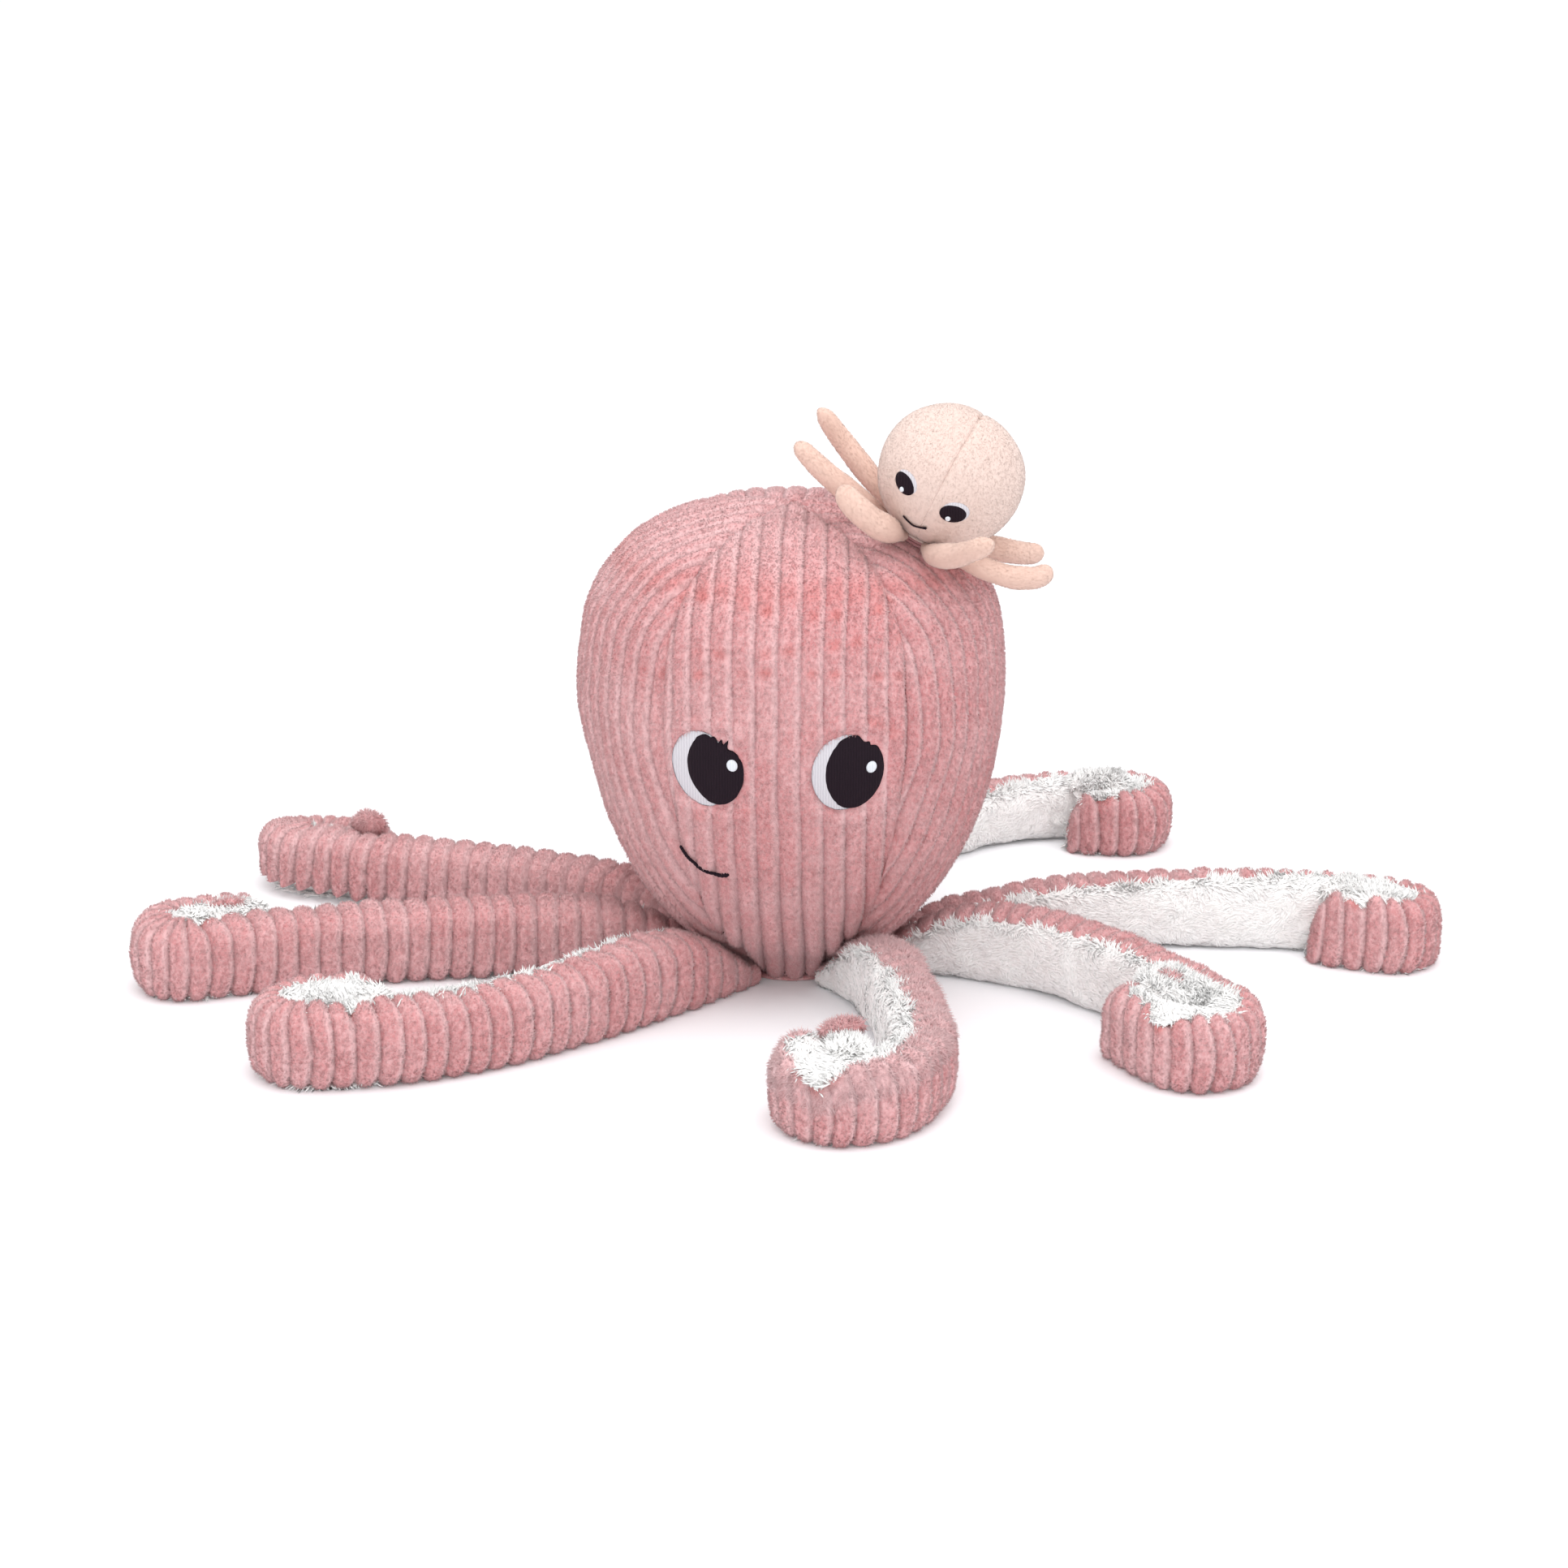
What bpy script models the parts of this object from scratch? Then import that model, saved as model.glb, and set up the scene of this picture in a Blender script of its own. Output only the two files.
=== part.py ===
# A plush octopus of wide-wale corduroy and long white plush, with a peach baby octopus
# that rides on its head. Metres, +Z up. The origin is on the floor under the big head's
# axis, the face looks along -Y, and +X is to the viewer's right.
#
# The big head is four sewn panels over one ball of stuffing. Eight arms are sewn into the
# seam between the panels and the base disc. Each arm is a strip of corduroy and a strip of
# plush around its own stuffing, folded back on itself at the tip. The arm lies on edge: seen
# from the head, corduroy is on its left and plush on its right, and the tip folds to the
# right. Every arm turns up about the seam that holds it.

import math

import bmesh
import bpy
from mathutils import Matrix, Vector

# Clearances and cloth

SEWN_GAP = 0.0003
CORDUROY_THICKNESS = 0.0018
PLUSH_THICKNESS = 0.0015
EMBROIDERY_THICKNESS = 0.0006
FLOOR_CUT = 0.0005

# Big head: rings from the base seam to the crown, as shares of its height and radius

HEAD_HEIGHT = 0.1667
HEAD_RADIUS = 0.0730
BASE_DISC_THICKNESS = 0.0017
HEAD_PROFILE_SHARES = (
    (0.0, 0.28),
    (0.05, 0.38),
    (0.12, 0.585),
    (0.22, 0.75),
    (0.34, 0.875),
    (0.46, 0.95),
    (0.58, 1.0),
    (0.70, 0.988),
    (0.80, 0.94),
    (0.88, 0.815),
    (0.92, 0.716),
    (0.956, 0.551),
    (0.98, 0.34),
    (1.0, 0.03),
)
PANEL_COLUMNS = 6
# Azimuth in degrees of each panel's first and last seam
HEAD_PANELS = {
    "head_front_panel": (233.5, 301.5),
    "head_right_panel": (301.5, 398.5),
    "head_back_panel": (38.5, 136.0),
    "head_left_panel": (136.0, 233.5),
}

# Face of the big head: sizes along the cloth, heights above the floor

FACE_AZIMUTH = 268.8
EYE_HEIGHT = 0.0922
EYE_SPREAD = 0.0482
PUPIL_SIZE = (0.0197, 0.0250)
EYE_WHITE_SIZE = (0.0245, 0.0268)
EYE_WHITE_ASIDE = 0.0042
GLINT_SIZE = (0.0037, 0.0037)
GLINT_ASIDE = 0.0056
GLINT_RISE = 0.0016
SMILE_THREAD = 0.0011
SMILE_CORNER_AZIMUTH = 235.2
SMILE_LOW_POINT = 0.0528
SMILE_SIZE = (0.0160, 0.0094)
SMILE_SHARES = ((0.0, 1.0), (0.17, 0.43), (0.41, 0.14), (0.70, 0.0), (1.0, 0.08))

# Arms: girth grows over the taper from the root seam, then holds to the folded tip

ARM_RUN = 0.178
ARM_WIDTH = 0.0214
ARM_HEIGHT = 0.0270
ARM_TAPER = 0.066
ARM_TAPER_SHARES = (
    (0.0, 0.46, 0.18),
    (0.12, 0.60, 0.33),
    (0.28, 0.74, 0.52),
    (0.48, 0.88, 0.76),
    (0.72, 0.97, 0.94),
    (1.0, 1.0, 1.0),
)
ARM_RUN_STATIONS = 5
FOLD_RADIUS = 0.0117
FOLD_STATIONS = 4
RETURN_LENGTH = 0.030
RETURN_STATIONS = 2
TIP_SHARE = 0.55
ARM_ROOT_CLEARANCE = 0.0036
ARM_ROOT_HEIGHT = 0.0036
ARM_HINGE_HEIGHT = 0.0068
MARCH_STEPS = 160
# Angles around the section, from the arm's left side: the seams are near the top and bottom
SEAM_TOP = 95.0
SEAM_BOTTOM = -86.0
CORDUROY_ANGLES = (SEAM_BOTTOM, -73.0, -38.0, 4.0, 48.0, SEAM_TOP)
PLUSH_ANGLES = (SEAM_TOP, 138.0, 180.0, 218.0, 253.0, 360.0 + SEAM_BOTTOM)
STUFFING_ANGLES = (-73.0, 4.0, 48.0, 138.0, 180.0, 253.0)
SECTION_SQUARENESS_SHARE = 0.62
# Root azimuth, share of the run, share of the return, and headings away from the root
# azimuth at equal steps along the run, all angles in degrees
ARMS = {
    "front_arm": (298.0, 0.84, 0.60, (14.0, 1.0, -18.0, -20.0, -25.0, -54.0, -109.0)),
    "front_right_arm": (350.0, 0.88, 1.0, (8.0, -10.0, -32.0, -48.0, -52.0)),
    "mid_right_arm": (28.0, 1.08, 1.0, (-12.0, -24.0, -29.0, -32.0, -54.0)),
    "back_right_arm": (72.0, 1.05, 1.0, (0.0, -6.0, -20.0, -48.0, -84.0)),
    "back_arm": (112.0, 1.0, 1.0, (0.0, -6.0, -14.0, -26.0, -40.0)),
    "back_left_arm": (152.0, 0.98, 1.0, (-10.0, 0.0, 12.0, 18.0, 4.0)),
    "mid_left_arm": (191.0, 1.04, 1.0, (-10.0, -8.0, -4.0, 0.0, 12.0)),
    "front_left_arm": (233.0, 0.96, 1.0, (-10.0, -10.0, -14.0, -28.0, -52.0)),
}

# Hook-and-loop patches that hold the baby octopus on the big head, at a share of its height

PATCH_RADIUS = 0.0085
PATCH_THICKNESS = 0.0010
PATCH_SEAT_SHARE = 0.938
PATCH_AZIMUTH = 335.0
PATCH_SIDES = 20
BABY_FACE_TURN = -16.0

# Baby octopus, in its own frame: Z along its axis, -Y through its face

BABY_HEAD_HEIGHT = 0.0435
BABY_HEAD_RADIUS = 0.0240
BABY_CLOTH_THICKNESS = 0.0012
BABY_DISC_THICKNESS = 0.0012
BABY_PROFILE_SHARES = (
    (0.0, 0.42),
    (0.06, 0.62),
    (0.18, 0.83),
    (0.34, 0.96),
    (0.52, 1.0),
    (0.70, 0.93),
    (0.85, 0.74),
    (0.95, 0.46),
    (1.0, 0.06),
)
BABY_PANEL_COLUMNS = 7
BABY_PANELS = {
    "baby_head_left_panel": (90.0, 270.0),
    "baby_head_right_panel": (270.0, 450.0),
}
BABY_EYE_HEIGHT = 0.0195
BABY_EYE_SPREAD = 0.0200
BABY_PUPIL_SIZE = (0.0068, 0.0074)
BABY_EYE_WHITE_SIZE = (0.0074, 0.0080)
BABY_EYE_WHITE_ASIDE = 0.0010
BABY_EYE_WHITE_RISE = 0.0006
BABY_GLINT_SIZE = (0.0016, 0.0016)
BABY_GLINT_ASIDE = -0.0005
BABY_GLINT_RISE = -0.0020
BABY_SMILE_THREAD = 0.0007
BABY_SMILE_CORNER_AZIMUTH = 259.0
BABY_SMILE_LOW_POINT = 0.0105
BABY_SMILE_SIZE = (0.0066, 0.0022)
BABY_SMILE_SHARES = ((0.0, 0.9), (0.35, 0.25), (0.7, 0.0), (1.0, 0.25))

BABY_ARM_LENGTH = 0.037
BABY_ARM_GIRTH = 0.0076
BABY_ARM_SIDES = 6
BABY_ARM_ROOT_CLEARANCE = 0.0008
BABY_ARM_HINGE_RISE = 0.0012
BABY_ARM_REST = 0.0016
# Distance along the arm, girth there, both as shares
BABY_ARM_SHARES = (
    (0.0, 0.36),
    (0.13, 0.52),
    (0.28, 0.80),
    (0.45, 1.0),
    (0.70, 0.94),
    (0.90, 0.86),
    (1.0, 0.40),
)
# Root azimuth, share of the length, heading turned at the tip in degrees, and how far the
# tip rises from the plane of the base as a share of the length
BABY_ARMS = {
    "baby_front_arm": (296.0, 1.16, 20.0, 0.60),
    "baby_front_right_arm": (338.0, 1.12, 120.0, 0.18),
    "baby_mid_right_arm": (30.0, 0.98, 40.0, 0.02),
    "baby_back_right_arm": (75.0, 0.90, -10.0, 0.06),
    "baby_back_arm": (118.0, 0.90, 12.0, 0.06),
    "baby_back_left_arm": (160.0, 1.14, 44.0, 0.36),
    "baby_mid_left_arm": (203.0, 1.10, -30.0, 0.22),
    "baby_front_left_arm": (252.0, 0.93, -100.0, 0.30),
}

THREAD_SIDES = 6
EYE_RINGS = 3
EYE_SPOKES = 16


# Scene, materials and objects


def clear_scene():
    for thing in list(bpy.data.objects):
        bpy.data.objects.remove(thing, do_unlink=True)


def make_material(name, colour, roughness):
    material = bpy.data.materials.new(name)
    material.use_nodes = True
    shader = material.node_tree.nodes["Principled BSDF"]
    shader.inputs["Base Color"].default_value = (*colour, 1.0)
    shader.inputs["Roughness"].default_value = roughness
    shader.inputs["Metallic"].default_value = 0.0
    material.diffuse_color = (*colour, 1.0)
    return material


def add_frame(name, matrix, parent=None):
    """An empty on a joint's axis, or at the base of the baby octopus."""
    frame = bpy.data.objects.new(name, None)
    frame.empty_display_size = ARM_WIDTH
    bpy.context.scene.collection.objects.link(frame)
    frame.parent = parent
    frame.matrix_local = matrix
    return frame


def add_piece(name, shape, material, parent=None, placed=Matrix.Identity(4)):
    """One closed piece. Its points are in its parent's frame, before placed is undone."""
    points, faces = shape
    mesh = bpy.data.meshes.new(name)
    undo = placed.inverted()
    mesh.from_pydata([undo @ point for point in points], [], faces)
    body = bmesh.new()
    body.from_mesh(mesh)
    bmesh.ops.recalc_face_normals(body, faces=body.faces)
    body.to_mesh(mesh)
    body.free()
    mesh.shade_smooth()
    mesh.set_sharp_from_angle(angle=math.radians(50.0))
    mesh.materials.append(material)
    piece = bpy.data.objects.new(name, mesh)
    bpy.context.scene.collection.objects.link(piece)
    piece.parent = parent
    return piece


# Closed shapes made from rings of points


def solid_between(rings):
    """Closed rings of equal count, joined one to the next and capped at both ends."""
    points = [point for ring in rings for point in ring]
    count = len(rings[0])
    faces = []
    for row in range(len(rings) - 1):
        low = row * count
        for i in range(count):
            after = (i + 1) % count
            faces.append((low + i, low + after, low + count + after, low + count + i))
    last = (len(rings) - 1) * count
    faces.append(tuple(reversed(range(count))))
    faces.append(tuple(range(last, last + count)))
    return points, faces


def shell_between(sections):
    """Open rows of outer and inner points, closed into one skin of cloth."""
    points = []
    for outer, inner in sections:
        points.extend(outer)
        points.extend(inner)
    across = len(sections[0][0])
    count = 2 * across
    faces = []
    for row in range(len(sections) - 1):
        low = row * count
        high = low + count
        for i in range(across - 1):
            faces.append((low + i, low + i + 1, high + i + 1, high + i))
            j = across + i
            faces.append((low + j + 1, low + j, high + j, high + j + 1))
        faces.append((low + across, low, high, high + across))
        end = across - 1
        faces.append((low + end, low + across + end, high + across + end, high + end))
    for low, turned in ((0, False), ((len(sections) - 1) * count, True)):
        for i in range(across - 1):
            face = (low + i, low + across + i, low + across + i + 1, low + i + 1)
            faces.append(tuple(reversed(face)) if turned else face)
    return points, faces


def tube_along(route, sides):
    """A round tube on a list of (point, across, upward, radius)."""
    rings = []
    for centre, across, upward, radius in route:
        ring = []
        for i in range(sides):
            turn = 2.0 * math.pi * i / sides
            ring.append(centre + radius * (math.cos(turn) * across + math.sin(turn) * upward))
        rings.append(ring)
    return solid_between(rings)


def heading_vector(degrees):
    turn = math.radians(degrees)
    return Vector((math.cos(turn), math.sin(turn), 0.0))


def between(table, place):
    """Straight-line reading of a table whose rows start with a rising place."""
    for low, high in zip(table, table[1:]):
        if place <= high[0]:
            share = (place - low[0]) / (high[0] - low[0])
            return [a + share * (b - a) for a, b in zip(low[1:], high[1:])]
    return list(table[-1][1:])


class Dome:
    """A stuffed head: rings of one profile, standing on its base seam at base_height."""

    def __init__(self, shares, radius, height, base_height):
        self.rings = [
            Vector((radius * across, base_height + height * up)) for up, across in shares
        ]

    def normal(self, index):
        before = self.rings[max(index - 1, 0)]
        after = self.rings[min(index + 1, len(self.rings) - 1)]
        along = (after - before).normalized()
        return Vector((along.y, -along.x))

    def inset(self, depth):
        """The same rings, drawn in by the thickness of what lies over them."""
        inner = []
        for index, ring in enumerate(self.rings):
            moved = ring - depth * self.normal(index)
            inner.append(Vector((max(moved.x, ring.x / len(self.rings)), moved.y)))
        inner[0].y = max(inner[0].y, self.rings[0].y)
        return inner

    def at_height(self, height):
        """Radius and outward normal of the profile at this height."""
        for low, high in zip(self.rings, self.rings[1:]):
            if height <= high.y:
                break
        share = (height - low.y) / (high.y - low.y)
        along = (high - low).normalized()
        return low.x + share * (high.x - low.x), Vector((along.y, -along.x))

    def on_cloth(self, azimuth, height, lift):
        """A point this far above the cloth."""
        radius, normal = self.at_height(height)
        return (radius + lift * normal.x) * heading_vector(azimuth) + Vector(
            (0.0, 0.0, height + lift * normal.y)
        )


def panel_azimuths(start, end, columns):
    return [start + (end - start) * i / columns for i in range(columns + 1)]


def dome_panel(dome, start, end, columns, thickness):
    """One cloth panel of a head, from seam to seam, half a gap short of each."""
    inner_rings = dome.inset(thickness)
    azimuths = panel_azimuths(start, end, columns)
    sections = []
    for outer_ring, inner_ring in zip(dome.rings, inner_rings):
        rows = []
        for ring in (outer_ring, inner_ring):
            row = []
            for azimuth in azimuths:
                aside = heading_vector(azimuth + 90.0)
                held = (azimuth == start) - (azimuth == end)
                point = ring.x * heading_vector(azimuth) + held * SEWN_GAP / 2.0 * aside
                row.append(Vector((point.x, point.y, ring.y)))
            rows.append(row)
        sections.append(rows)
    return shell_between(sections)


def dome_stuffing(dome, panels, columns, depth):
    azimuths = []
    for start, end in panels.values():
        azimuths.extend(panel_azimuths(start, end, columns)[:-1])
    azimuths.sort(key=lambda azimuth: azimuth % 360.0)
    rings = []
    for ring in dome.inset(depth):
        rings.append(
            [ring.x * heading_vector(azimuth) + Vector((0.0, 0.0, ring.y)) for azimuth in azimuths]
        )
    return solid_between(rings)


def round_disc(radius, bottom, top, sides):
    rings = []
    for height in (bottom, top):
        ring = []
        for i in range(sides):
            ring.append(radius * heading_vector(360.0 * i / sides) + Vector((0.0, 0.0, height)))
        rings.append(ring)
    return solid_between(rings)


def embroidered_oval(dome, azimuth, height, size, layer):
    """A satin-stitched oval that follows the cloth, on the given layer above it."""
    bottom = SEWN_GAP + layer * (EMBROIDERY_THICKNESS + SEWN_GAP)
    radius = dome.at_height(height)[0]
    width, tall = size
    sheets = []
    for lift in (bottom, bottom + EMBROIDERY_THICKNESS):
        rows = []
        for ring in range(1, EYE_RINGS + 1):
            row = []
            for spoke in range(EYE_SPOKES):
                turn = 2.0 * math.pi * spoke / EYE_SPOKES
                along = ring / EYE_RINGS * width / 2.0 * math.cos(turn)
                up = ring / EYE_RINGS * tall / 2.0 * math.sin(turn)
                row.append(dome.on_cloth(azimuth + math.degrees(along / radius), height + up, lift))
            rows.append(row)
        sheets.append(rows)
    lower, upper = sheets
    rings = lower + list(reversed(upper))
    return solid_between(rings)


def stitched_line(dome, corner_azimuth, low_point, size, shares, thread):
    """A thread laid on the cloth, from the corner of the mouth to its other end."""
    width, tall = size
    radius = dome.at_height(low_point)[0]
    places = []
    for across, up in shares:
        azimuth = corner_azimuth + math.degrees(across * width / radius)
        places.append((azimuth, low_point + up * tall))
    lift = SEWN_GAP + thread
    route = []
    for index, (azimuth, height) in enumerate(places):
        centre = dome.on_cloth(azimuth, height, lift)
        before = dome.on_cloth(*places[max(index - 1, 0)], lift)
        after = dome.on_cloth(*places[min(index + 1, len(places) - 1)], lift)
        outward = (dome.on_cloth(azimuth, height, lift + thread) - centre).normalized()
        across = (after - before).cross(outward).normalized()
        route.append((centre, across, outward, thread / 2.0))
    return tube_along(route, THREAD_SIDES)


def add_eye(side, prefix, dome, azimuth, sizes, materials, parent=None):
    """White, pupil and glint, each stitched over the last."""
    white_size, pupil_size, glint_size, white_place, glint_place, height = sizes
    radius = dome.at_height(height)[0]
    layers = (
        ("eye_white", white_size, white_place, "eye_white"),
        ("pupil", pupil_size, (0.0, 0.0), "black_thread"),
        ("eye_glint", glint_size, glint_place, "white_thread"),
    )
    for layer, (piece, size, (aside, rise), material) in enumerate(layers):
        shape = embroidered_oval(
            dome, azimuth + math.degrees(aside / radius), height + rise, size, layer
        )
        add_piece(f"{prefix}{side}_{piece}", shape, materials[material], parent)


# Big head


def add_big_head(dome, materials):
    for name, (start, end) in HEAD_PANELS.items():
        shape = dome_panel(dome, start, end, PANEL_COLUMNS, CORDUROY_THICKNESS)
        add_piece(name, shape, materials["corduroy"])
    filling = dome_stuffing(dome, HEAD_PANELS, PANEL_COLUMNS, CORDUROY_THICKNESS + SEWN_GAP)
    add_piece("head_stuffing", filling, materials["stuffing"])
    sides = PANEL_COLUMNS * len(HEAD_PANELS)
    disc = round_disc(dome.rings[0].x, 0.0, BASE_DISC_THICKNESS, sides)
    add_piece("base_disc", disc, materials["corduroy"])


def add_big_face(dome, materials):
    radius = dome.at_height(EYE_HEIGHT)[0]
    half = math.degrees(EYE_SPREAD / 2.0 / radius)
    sizes = (
        EYE_WHITE_SIZE,
        PUPIL_SIZE,
        GLINT_SIZE,
        (-EYE_WHITE_ASIDE, 0.0),
        (GLINT_ASIDE, GLINT_RISE),
        EYE_HEIGHT,
    )
    add_eye("left", "", dome, FACE_AZIMUTH - half, sizes, materials)
    add_eye("right", "", dome, FACE_AZIMUTH + half, sizes, materials)
    smile = stitched_line(
        dome, SMILE_CORNER_AZIMUTH, SMILE_LOW_POINT, SMILE_SIZE, SMILE_SHARES, SMILE_THREAD
    )
    add_piece("smile_thread", smile, materials["black_thread"])


# Arms


class ArmPath:
    """Where an arm's middle line runs on the floor, and where it looks."""

    def __init__(self, root, azimuth, run, headings, fold_radius):
        self.run = run
        self.fold_radius = fold_radius
        self.step = run / MARCH_STEPS
        self.headings = [
            azimuth + between(self.heading_rows(headings), i / MARCH_STEPS)[0]
            for i in range(MARCH_STEPS + 1)
        ]
        self.points = [root]
        for here, there in zip(self.headings, self.headings[1:]):
            ahead = heading_vector((here + there) / 2.0)
            self.points.append(self.points[-1] + self.step * ahead)

    @staticmethod
    def heading_rows(headings):
        last = len(headings) - 1
        return [(index / last, heading) for index, heading in enumerate(headings)]

    def on_run(self, travelled):
        place = min(max(travelled / self.step, 0.0), MARCH_STEPS)
        index = min(int(place), MARCH_STEPS - 1)
        share = place - index
        point = self.points[index].lerp(self.points[index + 1], share)
        heading = self.headings[index] + share * (self.headings[index + 1] - self.headings[index])
        return point, heading

    def on_fold(self, share):
        point, heading = self.on_run(self.run)
        centre = point + self.fold_radius * heading_vector(heading - 90.0)
        turned = heading - 180.0 * share
        return centre + self.fold_radius * heading_vector(turned + 90.0), turned

    def on_return(self, back):
        """Beside the run, which the folded end follows."""
        point, heading = self.on_run(self.run - back)
        return point + 2.0 * self.fold_radius * heading_vector(heading - 90.0), heading - 180.0


def arm_stations(path, returned):
    """(point, heading, width, height) from the root seam to the folded end."""
    stations = []
    for share, wide, tall in ARM_TAPER_SHARES:
        point, heading = path.on_run(share * ARM_TAPER)
        stations.append((point, heading, wide, tall))
    for i in range(1, ARM_RUN_STATIONS):
        travelled = ARM_TAPER + (path.run - ARM_TAPER) * i / (ARM_RUN_STATIONS - 1)
        point, heading = path.on_run(travelled)
        stations.append((point, heading, 1.0, 1.0))
    for i in range(1, FOLD_STATIONS + 1):
        point, heading = path.on_fold(i / FOLD_STATIONS)
        stations.append((point, heading, 1.0, 1.0))
    for i in range(1, RETURN_STATIONS + 1):
        point, heading = path.on_return(returned * i / RETURN_STATIONS)
        share = TIP_SHARE if i == RETURN_STATIONS else 1.0
        stations.append((point, heading, share, share))
    return stations


def section_point(station, angle, depth, aside):
    """A point of the rounded section, this deep inside the cloth."""
    point, heading, wide, tall = station
    half_width = wide * ARM_WIDTH / 2.0
    half_height = tall * ARM_HEIGHT / 2.0
    middle = max(half_height - FLOOR_CUT, min(ARM_ROOT_HEIGHT, ARM_HEIGHT * (1.0 - tall)))
    turn = math.radians(angle)
    across = math.copysign(abs(math.cos(turn)) ** SECTION_SQUARENESS_SHARE, math.cos(turn))
    upward = math.copysign(abs(math.sin(turn)) ** SECTION_SQUARENESS_SHARE, math.sin(turn))
    left = heading_vector(heading + 90.0)
    place = point + ((half_width - depth) * across + aside) * left
    return Vector((place.x, place.y, max(middle + (half_height - depth) * upward, 0.0)))


def arm_strip(stations, angles, thickness, lean):
    """One strip of cloth, half a gap short of the seam at its top and bottom."""
    sections = []
    for station in stations:
        rows = []
        for depth in (0.0, thickness):
            row = []
            for angle in angles:
                at_seam = angle in (angles[0], angles[-1])
                aside = lean * SEWN_GAP / 2.0 if at_seam else 0.0
                row.append(section_point(station, angle, depth, aside))
            rows.append(row)
        sections.append(rows)
    return shell_between(sections)


def arm_filling(stations):
    depth = CORDUROY_THICKNESS + SEWN_GAP
    rings = []
    for station in stations[1:-1]:
        rings.append([section_point(station, angle, depth, 0.0) for angle in STUFFING_ANGLES])
    return solid_between(rings)


def add_arm(name, plan, root_radius, materials):
    azimuth, run_share, return_share, headings = plan
    outward = heading_vector(azimuth)
    path = ArmPath(root_radius * outward, azimuth, run_share * ARM_RUN, headings, FOLD_RADIUS)
    stations = arm_stations(path, return_share * RETURN_LENGTH)
    hinge = Matrix.Translation(root_radius * outward + Vector((0.0, 0.0, ARM_HINGE_HEIGHT)))
    hinge = hinge @ Matrix.Rotation(math.radians(azimuth), 4, "Z")
    joint = add_frame(f"{name}_joint", hinge)
    ribbed = arm_strip(stations, CORDUROY_ANGLES, CORDUROY_THICKNESS, 1.0)
    add_piece(f"{name}_rib_strip", ribbed, materials["corduroy"], joint, hinge)
    furry = arm_strip(stations, PLUSH_ANGLES, PLUSH_THICKNESS, -1.0)
    add_piece(f"{name}_plush_strip", furry, materials["white_plush"], joint, hinge)
    add_piece(f"{name}_stuffing", arm_filling(stations), materials["stuffing"], joint, hinge)


# Baby octopus


def baby_octopus_frame(dome):
    """Its base rests on the loop patch and its face looks as far along -Y as it can."""
    height = dome.rings[0].y + PATCH_SEAT_SHARE * HEAD_HEIGHT
    radius, normal = dome.at_height(height)
    outward = heading_vector(PATCH_AZIMUTH)
    seat = radius * outward + Vector((0.0, 0.0, height))
    axis = (normal.x * outward + Vector((0.0, 0.0, normal.y))).normalized()
    back = Vector((0.0, 1.0, 0.0))
    back = (back - back.dot(axis) * axis).normalized()
    across = back.cross(axis)
    turned = Matrix((across, back, axis)).transposed().to_4x4()
    facing = Matrix.Rotation(math.radians(BABY_FACE_TURN), 4, "Z")
    return Matrix.Translation(seat) @ turned @ facing


def add_patches(seat, baby, materials):
    low = SEWN_GAP
    high = low + PATCH_THICKNESS
    points, faces = round_disc(PATCH_RADIUS, low, high, PATCH_SIDES)
    add_piece("head_loop_patch", ([seat @ point for point in points], faces), materials["patch"])
    low = high + SEWN_GAP
    hook = round_disc(PATCH_RADIUS, low, low + PATCH_THICKNESS, PATCH_SIDES)
    add_piece("baby_hook_patch", hook, materials["patch"], baby)
    return low + PATCH_THICKNESS + SEWN_GAP


def add_baby_head(disc_bottom, baby, materials):
    disc_top = disc_bottom + BABY_DISC_THICKNESS
    dome = Dome(BABY_PROFILE_SHARES, BABY_HEAD_RADIUS, BABY_HEAD_HEIGHT, disc_top + SEWN_GAP)
    sides = BABY_PANEL_COLUMNS * len(BABY_PANELS)
    disc = round_disc(dome.rings[0].x, disc_bottom, disc_top, sides)
    add_piece("baby_base_disc", disc, materials["peach_plush"], baby)
    for name, (start, end) in BABY_PANELS.items():
        shape = dome_panel(dome, start, end, BABY_PANEL_COLUMNS, BABY_CLOTH_THICKNESS)
        add_piece(name, shape, materials["peach_plush"], baby)
    depth = BABY_CLOTH_THICKNESS + SEWN_GAP
    filling = dome_stuffing(dome, BABY_PANELS, BABY_PANEL_COLUMNS, depth)
    add_piece("baby_head_stuffing", filling, materials["stuffing"], baby)
    return dome


def add_baby_face(dome, baby, materials):
    half = math.degrees(BABY_EYE_SPREAD / 2.0 / BABY_HEAD_RADIUS)
    sizes = (
        BABY_EYE_WHITE_SIZE,
        BABY_PUPIL_SIZE,
        BABY_GLINT_SIZE,
        (BABY_EYE_WHITE_ASIDE, BABY_EYE_WHITE_RISE),
        (BABY_GLINT_ASIDE, BABY_GLINT_RISE),
        dome.rings[0].y + BABY_EYE_HEIGHT,
    )
    add_eye("left", "baby_", dome, 270.0 - half, sizes, materials, baby)
    add_eye("right", "baby_", dome, 270.0 + half, sizes, materials, baby)
    smile = stitched_line(
        dome,
        BABY_SMILE_CORNER_AZIMUTH,
        dome.rings[0].y + BABY_SMILE_LOW_POINT,
        BABY_SMILE_SIZE,
        BABY_SMILE_SHARES,
        BABY_SMILE_THREAD,
    )
    add_piece("baby_smile_thread", smile, materials["black_thread"], baby)


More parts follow.
